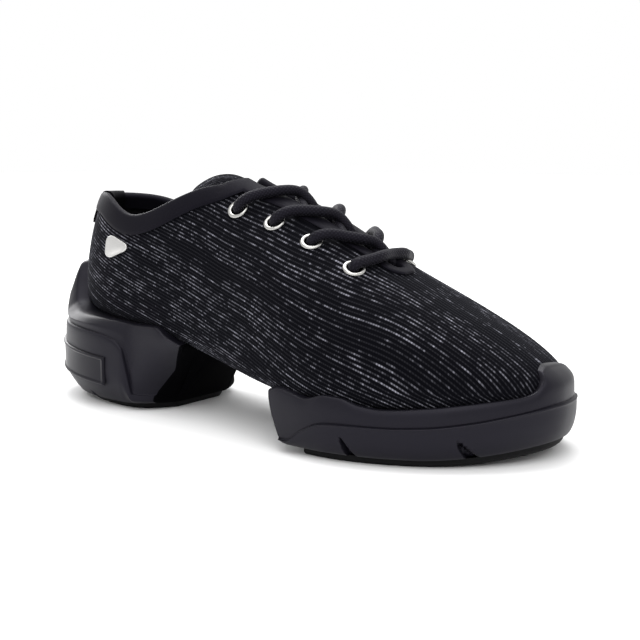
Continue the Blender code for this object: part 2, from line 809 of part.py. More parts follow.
# Tongue and insole
def build_tongue(parts, look):
    rows = 13
    columns = 9
    along = np.linspace(0, 1, rows)[:, None]
    across = np.linspace(-1, 1, columns)[None, :]
    back = tongue_back_share + 0.05 * across**4
    station = back + (throat_end_share + 0.02 - back) * along
    behind = np.clip(tongue_bend_share - station, 0, None) * upper_length
    turn = turn_where_spine(np.maximum(station, tongue_bend_share))
    side = np.where(across * np.ones_like(station) < 0, -1.0, 1.0)
    rim, middle, _, _, shoulder, _ = section(side, turn)
    reach = np.abs(across) * tongue_half_width / np.abs(rim[..., 1] - middle[..., 1])
    lift = np.arccos(np.clip(reach, 0, 0.95) ** (shoulder / 2))
    place = last_point(side, turn, lift)
    out = last_normal(side, turn, lift)
    out[:, columns // 2] *= np.array([1.0, 0.0, 1.0])
    place = place + np.stack([-behind, 0 * behind, behind * tongue_rise], -1)
    top = fabric + tongue_drop
    sheet("tongue", place - out * top, place - out * (top + tongue_thickness), parts, look)


def build_insole(parts, look):
    """Pad inside the upper. Over the openings its underside drops into them, onto the soles."""
    station = (1 - np.cos(ribs)) / 2
    opened = open_underneath(station)
    inner = opened & np.roll(opened, 1) & np.roll(opened, -1)
    inner[[0, -1]] = True
    feather = from_profile("feather", station)[None, :, None]
    on_top = np.array([0.0, 0.62, 0.90])
    below = np.array([0.0, underside_opening - 0.08, underside_opening - 0.02, 0.90])

    def rows(reach, depth):
        lifts = -np.arccos(reach[None, None, :] ** (feather / 2)) * np.ones((2, len(ribs), 1))
        return offset_grid(lifts, -depth * np.ones_like(lifts))

    high = fabric + clearance
    drop = np.where(inner[None, :, None] & (below < underside_opening - 0.05)[None, None, :], 0.0, high)
    under = rows(below, drop)
    over = rows(on_top, high + insole_thickness)
    points = np.concatenate([under, over[:, :, ::-1]], 2)
    count, corners = points.shape[1:3]
    faces = []
    for s in range(2):
        for i in range(count - 1):
            for j in range(corners - 1):
                a = (s * count + i) * corners + j
                faces.append((a, a + 1, a + corners + 1, a + corners))
    add_object("insole", points, faces, parts, look)


# Soles
def floor_under(station):
    """Height of the tread's underside: flat, with the toe spring at the front."""
    past = np.clip((station - toe_spring_share) / (1 - toe_spring_share), 0, None)
    return toe_spring * past**2


def side_of_sole(side, turn, out):
    """A point outside the upper's widest line, seen from above."""
    side, turn = np.broadcast_arrays(np.asarray(side, float), turn)
    small = 0.004
    middle = np.clip(turn, small, math.pi - small)
    run = outline(side, middle + small) - outline(side, middle - small)
    square = np.stack([-run[..., 1], run[..., 0]], -1) * np.asarray(side)[..., None]
    square = square / np.linalg.norm(square, axis=-1, keepdims=True)
    tip = (turn < small) | (turn > math.pi - small)
    square = np.where(tip[..., None], np.sign(square) * np.array([1.0, 0.0]), square)
    return outline(side, turn) + square * out


def lean_at(side, turn, height):
    """How far the upper leans in at this height above its widest line, seen from above. Found by halving."""
    rim, middle, widest, crown, shoulder, _ = section(side, turn)
    fall = crown_slope(middle[..., 0]) * (rim[..., 0] - middle[..., 0])
    above = np.maximum(height - widest, 0)
    low, high = np.zeros_like(above), np.ones_like(above)
    for _ in range(20):
        reach = (low + high) / 2
        rise = (1 - reach**shoulder) ** (1 / shoulder)
        past = (crown - widest + fall * reach) * rise < above
        low, high = np.where(past, low, reach), np.where(past, reach, high)
    return np.where((height > widest)[..., None], (reach - 1)[..., None] * (rim - middle), 0)


def round_breast(place, height, radius):
    """Draws a sole's sides in towards its end at the arch, so that its corners are round there, below the rim."""
    past = np.clip((place[:, 0] - place[-1, 0]) / radius + 1, 0, 1)
    share = breast_narrowing * np.clip(1.6 - height / (heel_wall * 0.34), 0, 1)
    place[:, 1] *= np.sqrt(1 - share * past**2)
    return place


def sole_stack(name, levels, lines, wall, tips, parts, look, radius=0.0):
    """A sole's solid from rings at the levels. tips: turns of its samples for an end station."""
    rings = []
    for part, rise, out, end in zip(levels["part"], levels["rise"], levels["out"], levels["end"]):
        turn = tips(end)
        step = wave(turn_of(lines["station"]), lines["step"], turn) * wall
        rim = wave(turn_of(lines["station"]), lines["rim"], turn) * wall
        pair = []
        for side in sides:
            place = side_of_sole(side, turn, out * side_bulge)
            foot = floor_under(station_of(place[:, 0])) + tread
            low = np.maximum(step, foot + 2 * mm)
            height = foot + (low - foot) * rise if part == 0 else low + (rim - low) * rise
            place = place + lean_at(side, turn, height)
            if radius:
                place = round_breast(place, height, radius)
            pair.append(np.column_stack([place, height]))
        rings.append(pair)
    return stack_object(name, np.array(rings), parts, look)


def stack_object(name, rings, parts, look):
    """Closed solid from levels of two sides that meet at one tip and stop at a flat end."""
    levels, _, count, _ = rings.shape
    number = np.arange(levels * 2 * count).reshape(levels, 2, count)
    faces = []
    for k in range(levels - 1):
        for s in range(2):
            for i in range(count - 1):
                a, b = number[k, s, i], number[k, s, i + 1]
                c, d = number[k + 1, s, i + 1], number[k + 1, s, i]
                faces.append((a, b, c, d))
        faces.append((number[k, 0, -1], number[k, 1, -1], number[k + 1, 1, -1], number[k + 1, 0, -1]))
    for k in (0, levels - 1):
        for i in range(count - 1):
            faces.append((number[k, 0, i], number[k, 0, i + 1], number[k, 1, i + 1], number[k, 1, i]))
    return add_object(name, rings, faces, parts, look)


def heel_tips(end):
    """Turns from the back tip to an end station, close together where the step line falls."""
    first = turn_of(np.array([0.0, 0.0035, 0.014, 0.032, 0.06, 0.095, 0.14, 0.185, 0.208, 0.222, 0.235]))
    return np.concatenate([first, turn_of(0.235 + (end - 0.235) * np.array([0.35, 0.65, 0.87, 1.0]))])


def forefoot_tips(end):
    """Turns from the toe tip back to an end station."""
    first = math.pi - np.array([0.0, 0.12, 0.20, 0.26, 0.31, 0.37, 0.45])
    return np.concatenate([first, np.linspace(first[-1], turn_of(end), 15)[1:]])


def upper_form(cutters):
    """The upper as a filled form with the clearance added. It hollows the soles."""
    low = np.broadcast_to(low_lifts(ribs)[None], (2, len(ribs), 6))
    high = np.broadcast_to(np.linspace(0, math.pi / 2, 9)[1:], (2, len(ribs), 8))
    points = offset_grid(np.concatenate([low, high], -1), clearance)
    count, rows = points.shape[1:3]
    faces = [*grid_faces(count, rows), *grid_faces(count, rows, count * rows, True)]
    return add_object("upper_form", points, faces, cutters)


def wedge(top_station, top_height, low_station, width, depth, side):
    """A slanted slit: narrow above, open below, as two rings across the sole's side."""
    x_top = x_of(top_station)
    x_low = x_of(low_station)
    edge = side_of_sole(side, turn_of(low_station), 0.0)[1]
    wall = forefoot_levels["out"].max() * side_bulge
    corners = [(x_top - 0.3 * mm, top_height), (x_top + 0.3 * mm, top_height), (x_low + width, -mm), (x_low, -mm)]
    rings = []
    for y in (edge + side * (wall + 8 * mm), edge + side * (wall - slit_depth)):
        rings.append([(x, y, z) for x, z in corners])
    return np.array(rings)


def groove(station):
    """A shallow flex groove across the tread, as two rings."""
    x = x_of(station)
    corners = [(x, flex_groove), (x + slit_width, flex_groove), (x + slit_width, -mm), (x, -mm)]
    lift = floor_under(station)
    return np.array([[(a, y, b + lift) for a, b in corners] for y in (-80 * mm, 80 * mm)])


slit_shares = (0.752, 0.913)


def build_soles(parts, cutters, look, look_tread):
    form = upper_form(cutters)
    heel = sole_stack("heel_midsole", heel_levels, heel_lines, heel_wall, heel_tips, parts, look, breast_radius)
    cut(heel, form, "upper")
    name = "forefoot_midsole"
    front = sole_stack(name, forefoot_levels, forefoot_lines, forefoot_wall, forefoot_tips, parts, look)
    cut(front, form, "upper")
    slits = []
    for side in sides:
        for share in slit_shares:
            height = floor_under(share) + tread + slit_height
            slits.append(wedge(share, height, share + 0.008, slit_width, slit_depth, side))
    cut(front, add_many("slit_cutter", slits, cutters), "slits")

    build_tread("heel_tread", heel_tips(heel_tread_end_share), parts, look_tread, breast_radius)
    made = build_tread("forefoot_tread", forefoot_tips(forefoot_tread_end_share), parts, look_tread)
    grooves = add_many("groove_cutter", [groove(share + 0.012) for share in slit_shares], cutters)
    cut(made, grooves, "grooves")


def build_tread(name, turn, parts, look, radius=0.0):
    """A flat tread inside its sole's outline, with a chamfered foot."""
    rings = []
    for height, inset in ((0.0, tread_foot_inset), (0.4 * tread, tread_inset), (tread - clearance, tread_inset)):
        places = [side_of_sole(side, turn, -inset) for side in sides]
        if radius:
            places = [round_breast(p, np.zeros(len(p)), radius) for p in places]
        rings.append([np.column_stack([p, floor_under(station_of(p[:, 0])) + height]) for p in places])
    return stack_object(name, np.array(rings), parts, look)


# Plates on the heel
def build_heel_plate(parts, look):
    """A blank raised plate on the outer side of the heel."""
    turn = np.linspace(turn_of(plate_from_share), turn_of(plate_to_share), 9)[:, None]
    rise = np.linspace(0, 1, 3)[None, :]
    height = (plate_low + plate_height * rise) * np.ones_like(turn)
    turn = turn * np.ones_like(height)
    seat = heel_levels["out"].max() * side_bulge + clearance
    near = side_of_sole(np.full(turn.shape, -1.0), turn, seat)
    far = side_of_sole(np.full(turn.shape, -1.0), turn, seat + plate_raise)
    inner = np.concatenate([near, height[..., None]], -1)
    outer = np.concatenate([far, height[..., None]], -1)
    sheet("heel_plate", outer, inner, parts, look)


def build_badge(parts, look):
    """A small bare metal plate like a pick: a rounded triangle with one side behind."""
    side, turn, lift = below_edge(np.array(-1.0), np.array(turn_of(badge_share)), badge_below_edge)
    centre = last_point(side, turn, lift)
    angle = np.arange(21) * 2 * math.pi / 21
    facing = np.radians([180.0, 60.0, -60.0])
    closeness = np.clip(np.cos(angle[:, None] - facing), 0, None)
    radius = (closeness**4).sum(1) ** -0.25
    shape = np.stack([radius * np.cos(angle), radius * np.sin(angle)], -1)
    span = shape.max(0) - shape.min(0)
    shape = (shape - shape.min(0) - span / 2) / span * np.array([badge_length, badge_height])
    rings = []
    for size, height in ((1.0, clearance), (1.0, clearance + 0.6 * badge_metal), (0.9, clearance + badge_metal)):
        ring = centre + np.stack([shape[:, 0] * size, 0 * angle, shape[:, 1] * size], -1)
        where = nearest(ring, np.full(21, -1.0), np.full(21, float(turn)), np.full(21, float(lift)))
        rings.append(last_point(*where) + last_normal(*where) * height)
    loop_solid("badge", np.array(rings), parts, look, closed=False)


def build():
    clear_scene()
    parts = collection("dance_sneaker")
    cutters = collection("cutters")
    build_upper(parts, cutters)
    build_tape(parts, satin)
    build_tongue(parts, knit)
    build_insole(parts, lining)
    build_soles(parts, cutters, foam, rubber)
    build_heel_plate(parts, foam)
    build_eyelets(parts, metal)
    build_badge(parts, metal)
    build_lace(parts, braid)
    for item in cutters.objects:
        item.hide_render = True
        item.display_type = "WIRE"


build()
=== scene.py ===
import math

import bmesh
import bpy
import numpy as np
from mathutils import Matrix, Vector


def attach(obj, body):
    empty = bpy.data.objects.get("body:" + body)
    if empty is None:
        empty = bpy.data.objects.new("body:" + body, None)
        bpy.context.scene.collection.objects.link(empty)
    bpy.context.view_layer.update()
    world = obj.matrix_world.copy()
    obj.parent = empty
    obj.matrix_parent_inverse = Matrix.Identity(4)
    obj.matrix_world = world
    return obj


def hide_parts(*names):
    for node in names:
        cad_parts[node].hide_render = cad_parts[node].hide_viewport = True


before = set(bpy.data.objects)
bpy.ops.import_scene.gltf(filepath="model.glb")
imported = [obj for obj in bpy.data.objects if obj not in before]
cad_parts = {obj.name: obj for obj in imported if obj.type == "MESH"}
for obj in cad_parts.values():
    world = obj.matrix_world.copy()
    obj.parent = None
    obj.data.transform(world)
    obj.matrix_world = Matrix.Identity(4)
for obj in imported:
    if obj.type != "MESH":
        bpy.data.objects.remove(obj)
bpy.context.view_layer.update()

mm = 0.001
sides = np.array([-1.0, 1.0])  # -1 is the outer side, 1 the inner one
upright = np.array([1.0, 0.0, 1.0])  # times a vector: without its sideways part

# Sizes of the last, the same ones that the solids are made from
last = {
    "length": 250 * mm,
    "ballWidth": 94 * mm,
    "heelHeight": 38 * mm,
    "sideRise": 16 * mm,
    "instepHeight": 108 * mm,
    "collarHeight": 98 * mm,
    "crownFlat": 0.40,
    "origin": 0.70,
    "fabric": 2.0 * mm,
    "throatTop": 11 * mm,
    "throatEndGap": 9 * mm,
    "throatEnd": 0.735,
    "throatCorner": 0.41,
    "cornerBlend": 14,  # the larger, the sharper the corner of collar and throat
}


def table(names, rows):
    return dict(zip(names.split(), np.array(rows, float).T))


# seen from above: half widths, sideways shift, and the station where that section crosses the middle
plan = table(
    "station outer inner axis spine",
    [
        (0.00, 0.000, 0.000, 0.00, 0.140),
        (0.02, 0.135, 0.135, 0.00, 0.146),
        (0.07, 0.245, 0.240, 0.00, 0.165),
        (0.15, 0.315, 0.305, 0.00, 0.205),
        (0.25, 0.335, 0.305, 0.00, 0.275),
        (0.37, 0.340, 0.290, -0.01, 0.380),
        (0.50, 0.395, 0.325, -0.015, 0.500),
        (0.62, 0.465, 0.415, -0.015, 0.610),
        (0.71, 0.485, 0.475, -0.015, 0.690),
        (0.80, 0.460, 0.475, 0.01, 0.760),
        (0.88, 0.375, 0.425, 0.03, 0.810),
        (0.94, 0.275, 0.325, 0.06, 0.838),
        (0.98, 0.155, 0.200, 0.08, 0.852),
        (1.00, 0.000, 0.000, 0.085, 0.860),
    ],
)

# seen from the side: underside, widest line and crown, and how square the section is above and below
profile = table(
    "station bottom widest crown shoulder feather",
    [
        (0.00, 1.00, 1.15, 1.15, 1.70, 3.2),
        (0.15, 0.985, 1.15, 1.16, 1.70, 3.2),
        (0.20, 0.95, 1.12, 1.25, 1.72, 3.2),
        (0.25, 0.90, 1.10, 1.27, 1.75, 3.2),
        (0.33, 0.79, 1.05, 1.15, 1.85, 3.0),
        (0.42, 0.65, 1.00, 1.00, 1.95, 2.8),
        (0.52, 0.52, 0.95, 0.91, 2.05, 2.8),
        (0.62, 0.45, 0.90, 0.80, 2.15, 3.0),
        (0.70, 0.42, 0.88, 0.70, 2.20, 3.2),
        (0.78, 0.41, 0.85, 0.600, 2.40, 3.2),
        (0.86, 0.42, 0.78, 0.505, 2.70, 3.2),
        (0.94, 0.45, 0.68, 0.42, 2.75, 3.2),
        (1.00, 0.49, 0.58, 0.36, 2.75, 3.2),
    ],
)

# height of the collar's edge, as a share of the collar height behind and of the instep height by the throat
topline = table(
    "station outer inner instep",
    [
        (0.00, 1.000, 1.000, 0.0),
        (0.10, 0.990, 0.970, 0.0),
        (0.15, 0.945, 0.930, 0.0),
        (0.20, 0.910, 0.900, 0.0),
        (0.25, 0.930, 0.915, 0.0),
        (0.30, 0.955, 0.936, 0.3),
        (0.36, 0.975, 0.971, 0.7),
        (0.41, 0.985, 0.989, 1.0),
        (0.46, 1.107, 1.107, 1.0),
        (0.60, 1.543, 1.543, 1.0),
        (1.00, 2.178, 2.178, 1.0),
    ],
)


# natural cubic through the knots: value = value0 + slope t + bend/2 t^2 + change of bend t^3
def spline(knots, values, at):
    count = len(knots)
    step = np.diff(knots)
    matrix = np.eye(count)
    right = np.zeros(count)
    for i in range(1, count - 1):
        matrix[i, i - 1:i + 2] = step[i - 1], 2 * (step[i - 1] + step[i]), step[i]
        right[i] = 6 * ((values[i + 1] - values[i]) / step[i] - (values[i] - values[i - 1]) / step[i - 1])
    bend = np.linalg.solve(matrix, right)
    at = np.clip(at, knots[0], knots[-1])
    i = np.clip(np.searchsorted(knots, at) - 1, 0, count - 2)
    t = at - knots[i]
    slope = (values[i + 1] - values[i]) / step[i] - step[i] * (2 * bend[i] + bend[i + 1]) / 6
    return values[i] + t * slope + t ** 2 * bend[i] / 2 + t ** 3 * (bend[i + 1] - bend[i]) / (6 * step[i])


# cubic through the knots whose slope there is the harmonic mean of its neighbours', so it never swings past
def wave(knots, values, at):
    slope = np.diff(values) / np.diff(knots)
    before, after = slope[:-1], slope[1:]
    same = before * after > 0
    inner = np.where(same, 2 * before * after / np.where(same, before + after, 1), 0)
    ends = np.concatenate([[0], inner, [0]])
    i = np.clip(np.searchsorted(knots, at) - 1, 0, len(knots) - 2)
    width = knots[i + 1] - knots[i]
    t = np.clip((at - knots[i]) / width, 0, 1)
    bend = (ends[i] * (1 - t) - ends[i + 1] * t) * width
    return values[i] + (values[i + 1] - values[i]) * t ** 2 * (3 - 2 * t) + t * (1 - t) * bend


def soft(value, low, high):  # 0 below low, 1 above high, 3t^2 - 2t^3 between
    t = np.clip((value - low) / (high - low), 0, 1)
    return t * t * (3 - 2 * t)


def unit(vector):
    return vector / np.linalg.norm(vector, axis=-1, keepdims=True)


def turnOf(station):  # a station as an angle from the heel (0) to the toe (pi)
    return np.arccos(np.clip(1 - 2 * np.asarray(station, float), -1, 1))


def stationAt(turn):
    return (1 - np.cos(turn)) / 2


def fromPlan(column, turn):
    return spline(turnOf(plan["station"]), plan[column], turn)


def fromProfile(column, station):
    return spline(profile["station"], profile[column], station)


def xOf(station):
    return (station - last["origin"]) * last["length"]


def stationOf(x):
    return x / last["length"] + last["origin"]


def bottomAt(x):
    return fromProfile("bottom", stationOf(x)) * last["heelHeight"]


def crownSlope(x):
    small = 2 * mm
    station = np.clip(stationOf(x), last["crownFlat"], 1)
    ahead = fromProfile("crown", station + small / last["length"])
    behind = fromProfile("crown", station - small / last["length"])
    return np.where(station > last["crownFlat"], (ahead - behind) / (2 * small) * last["instepHeight"], 0)


def outline(side, turn):  # widest line from above: axis + side * half width
    side, turn = np.broadcast_arrays(np.asarray(side, float), turn)
    width = np.where(side < 0, fromPlan("outer", turn), fromPlan("inner", turn))
    across = (fromPlan("axis", turn) + side * width) * last["ballWidth"]
    return np.stack([xOf(stationAt(turn)), across], -1)


def spine(turn):
    station = fromPlan("spine", turn)
    return np.stack([xOf(station), fromPlan("axis", turnOf(station)) * last["ballWidth"]], -1)


def section(side, turn):
    side, turn = np.broadcast_arrays(np.asarray(side, float), turn)
    rim = outline(side, turn)
    middle = spine(turn)
    station = stationOf(rim[..., 0])
    inner = stationOf(middle[..., 0])
    widest = bottomAt(rim[..., 0]) + fromProfile("widest", station) * last["sideRise"]
    crown = fromProfile("crown", inner) * last["instepHeight"]
    return rim, middle, widest, crown, fromProfile("shoulder", inner), fromProfile("feather", station)


# A section is a superellipse: reach = cos(lift)^(2/p) out from the middle, rise = sin(lift)^(2/p) from the
# widest line to the crown above it (p: shoulder), or to the underside below it (p: feather)
def lastPoint(side, turn, lift):
    side, turn, lift = np.broadcast_arrays(np.asarray(side, float), turn, lift)
    rim, middle, widest, crown, shoulder, feather = section(side, turn)
    power = 2 / np.where(lift < 0, feather, shoulder)
    reach = np.clip(np.cos(lift), 0, 1) ** power
    rise = np.clip(np.abs(np.sin(lift)), 0, 1) ** power
    place = middle + reach[..., None] * (rim - middle)
    belly = fromProfile("widest", stationOf(rim[..., 0])) * last["sideRise"]
    low = bottomAt(place[..., 0]) + belly * (1 - rise)
    top = crown - widest + crownSlope(middle[..., 0]) * (place[..., 0] - middle[..., 0])
    high = widest + top * rise
    return np.concatenate([place, np.where(lift < 0, low, high)[..., None]], -1)


def lastNormal(side, turn, lift):  # cross product of the steps along and around, pointing out
    small = 0.004
    side, turn, lift = np.broadcast_arrays(np.asarray(side, float), turn, lift)
    turn = np.clip(turn, 3 * small, math.pi - 3 * small)
    lift = np.clip(lift, -math.pi / 2 + 3 * small, math.pi / 2 - 3 * small)
    lift = np.where(np.abs(lift) < 3 * small, np.where(lift < 0, -3, 3) * small, lift)
    along = lastPoint(side, turn + small, lift) - lastPoint(side, turn - small, lift)
    around = lastPoint(side, turn, lift + small) - lastPoint(side, turn, lift - small)
    return unit(np.cross(along, around) * side[..., None] * -1)


def turnWhereSpine(station):
    turns = np.linspace(0, math.pi, 2001)
    return np.interp(station, fromPlan("spine", turns), turns)


def throatHalfGap(station):  # half the throat's width, closed by a half circle at its front end
    share = np.clip((station - last["throatCorner"]) / (last["throatEnd"] - last["throatCorner"]), 0, 1)
    half = (last["throatTop"] + (last["throatEndGap"] - last["throatTop"]) * share) / 2
    past = np.clip(1 + (station - last["throatEnd"]) * last["length"] / (last["throatEndGap"] / 2), 0, 1)
    return half * np.sqrt(1 - past ** 2)


def edgeLift(side, turn):  # soft minimum of the lifts at the collar's height and at the throat's gap
    side, turn = np.broadcast_arrays(np.asarray(side, float), turn)
    rim, middle, widest, crown, shoulder, _ = section(side, turn)
    rule = last["collarHeight"] + (last["instepHeight"] - last["collarHeight"]) * topline["instep"]
    station = stationOf(rim[..., 0])
    heights = [spline(topline["station"], topline[word] * rule, station) for word in ("outer", "inner")]
    height = np.where(side < 0, *heights)
    level = np.clip((height - widest) / (crown - widest), 0, None) ** (shoulder / 2)
    collar = np.arcsin(np.clip(level, 0, 1)) + 3 * np.clip(level - 1, 0, None)
    inner = stationOf(middle[..., 0])
    width = np.maximum(np.linalg.norm(rim - middle, axis=-1), mm)
    throat = np.arccos(np.clip(throatHalfGap(inner) / width, 0, 1) ** (shoulder / 2))
    blend = last["cornerBlend"]
    both = -np.log(np.exp(-blend * collar) + np.exp(-blend * throat)) / blend
    return np.where(inner >= last["throatEnd"] - 1e-6, math.pi / 2, np.minimum(both, math.pi / 2))


# where the last is nearest to a point: steps in the tangent plane towards the foot of the perpendicular
def nearest(point, side, turn, lift):
    small = 0.002
    for _ in range(8):
        place = spine(turn)
        # near the top, the side is the one that the point is on
        side = np.where(lift > 1.2, np.where(point[..., 1] < place[..., 1], -1.0, 1.0), side)
        here = lastPoint(side, turn, lift)
        along = (lastPoint(side, turn + small, lift) - lastPoint(side, turn - small, lift)) / (2 * small)
        around = (here - lastPoint(side, turn, lift - small)) / small
        gap = point - here
        aa = (along * along).sum(-1)
        bb = (around * around).sum(-1)
        ab = (along * around).sum(-1)
        ga = (gap * along).sum(-1)
        gb = (gap * around).sum(-1)
        ground = np.maximum(aa * bb - ab ** 2, 1e-14)
        # a step is at most 0.2 along and 0.3 around, so that it never runs away
        turn = np.clip(turn + np.clip((ga * bb - gb * ab) / ground, -0.2, 0.2), 0.001, math.pi - 0.001)
        lift = np.clip(lift + np.clip((gb * aa - ga * ab) / ground, -0.3, 0.3), -1.5, math.pi / 2)
    return side, turn, lift


def edgeFrame(side, turn):  # a point of the topline, the way into the fabric and the way out of it
    side, turn = np.broadcast_arrays(np.asarray(side, float), turn)
    small = 0.01
    at = lastPoint(side, turn, edgeLift(side, turn))
    ahead = lastPoint(side, turn + small, edgeLift(side, turn + small))
    back = np.maximum(turn - small, 0)
    behind = lastPoint(side, back, edgeLift(side, back))
    out = lastNormal(side, turn, np.minimum(edgeLift(side, turn), 1.5))
    return at, unit(np.cross(out, unit(ahead - behind)) * side[..., None]), out


def belowEdge(side, turn, distance):  # a place on the last, this far into the fabric from the topline
    at, into, _ = edgeFrame(side, turn)
    return nearest(at + into * distance, side, turn, edgeLift(side, turn))


# quads of a grid of points, row by row; wrapping joins the last row or column to the first
def gridFaces(rows, columns, wrapRows=False, wrapColumns=False, flip=False):
    i = np.arange(rows - (not wrapRows))[:, None]
    j = np.arange(columns - (not wrapColumns))
    here, below = i * columns, (i + 1) % rows * columns
    beside = (j + 1) % columns
    quads = np.stack([here + j, below + j, below + beside, here + beside], -1).reshape(-1, 4)
    return quads[:, ::-1] if flip else quads


def strip(first, second, flip=False, number=0):  # one row of quads between two lines of points
    return np.stack([first, second], 1), gridFaces(len(first), 2, flip=flip), None, number


def borders(above, below):  # strips that close the four borders of two grids
    return [strip(above[cut], below[cut]) for cut in (0, -1, np.s_[:, 0], np.s_[:, -1])]


def joinNormals(out, middle):  # where both sides meet: their mean, without its sideways part
    return np.where(middle.all(0)[None, ..., None], unit(out.mean(0, keepdims=True) * upright), out)


# parts: lists of points, quads, uv in mm and material numbers, which all go into one mesh
def makePiece(name, parts, looks, node, sharp=40):
    points, faces, uvs, numbers, first = [], [], [], [], 0
    for pts, quads, uv, number in parts:
        pts = np.asarray(pts, float).reshape(-1, 3)
        points.append(pts)
        faces.append(quads + first)
        uvs.append(np.zeros((len(pts), 2)) if uv is None else np.asarray(uv, float).reshape(-1, 2))
        numbers.append(np.broadcast_to(number, len(quads)))
        first += len(pts)
    points, faces, uvs, numbers = map(np.concatenate, (points, faces, uvs, numbers))
    mesh = bpy.data.meshes.new(name)
    mesh.vertices.add(len(points))
    mesh.vertices.foreach_set("co", points.ravel())
    mesh.loops.add(faces.size)
    mesh.loops.foreach_set("vertex_index", faces.ravel().astype(np.int32))
    mesh.polygons.add(len(faces))
    mesh.polygons.foreach_set("loop_start", np.arange(0, faces.size, 4, dtype=np.int32))
    mesh.polygons.foreach_set("material_index", numbers.astype(np.int32))
    mesh.update(calc_edges=True)
    layer = mesh.uv_layers.new(name="cloth")
    layer.uv.foreach_set("vector", uvs[faces.ravel()].ravel().astype(np.float32))
    work = bmesh.new()
    work.from_mesh(mesh)
    bmesh.ops.remove_doubles(work, verts=work.verts, dist=0.02 * mm)
    bmesh.ops.dissolve_degenerate(work, dist=0.002 * mm, edges=work.edges)
    bmesh.ops.recalc_face_normals(work, faces=work.faces)
    work.to_mesh(mesh)
    work.free()
    for look in looks:
        mesh.materials.append(look)
    mesh.shade_smooth()
    mesh.set_sharp_from_angle(angle=math.radians(sharp))
    piece = bpy.data.objects.new(name, mesh)
    bpy.context.scene.collection.objects.link(piece)
    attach(piece, "root")
    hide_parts(node)


def lengthAlong(points):  # summed distances along the second last axis, from zero
    steps = np.linalg.norm(np.diff(points, axis=-2), axis=-1)
    return np.concatenate([np.zeros(steps.shape[:-1] + (1,)), np.cumsum(steps, -1)], -1)


def hexColor(code):  # sRGB hex to linear
    values = [int(code[i:i + 2], 16) / 255 for i in (1, 3, 5)]
    return (*[c / 12.92 if c <= 0.04045 else ((c + 0.055) / 1.055) ** 2.4 for c in values], 1)


# inputs are numbers, colors, sockets, or nodes, whose first output is meant, or a mix's color
def setInputs(tree, node, inputs):
    for key, value in inputs.items():
        if isinstance(value, bpy.types.Node):
            value = value.outputs[2 if value.bl_idname == "ShaderNodeMix" else 0]
        if isinstance(value, bpy.types.NodeSocket):
            tree.links.new(value, node.inputs[key])
        else:
            node.inputs[key].default_value = value


def addNode(tree, kind, inputs=None, **settings):
    node = tree.nodes.new("ShaderNode" + kind)
    for key, value in settings.items():
        setattr(node, key, value)
    setInputs(tree, node, inputs or {})
    return node


def newMaterial(name, constants):
    made = bpy.data.materials.new(name)
    made.use_nodes = True
    shader = made.node_tree.nodes["Principled BSDF"]
    setInputs(made.node_tree, shader, constants)
    return made, made.node_tree, shader


knit = {
    "rib": 1.5,  # mm from rib to rib
    "stitch": 1.0,  # mm from stitch to stitch
    "dash": 7.0,  # mm, the coarse size of the metal yarn's dashes
    "tongueDash": 5.0,
    "bright": 0.42,  # how much of the metal's color a dash gets
    "base": "#060609",
    "metal": "#c6c6d4",
}


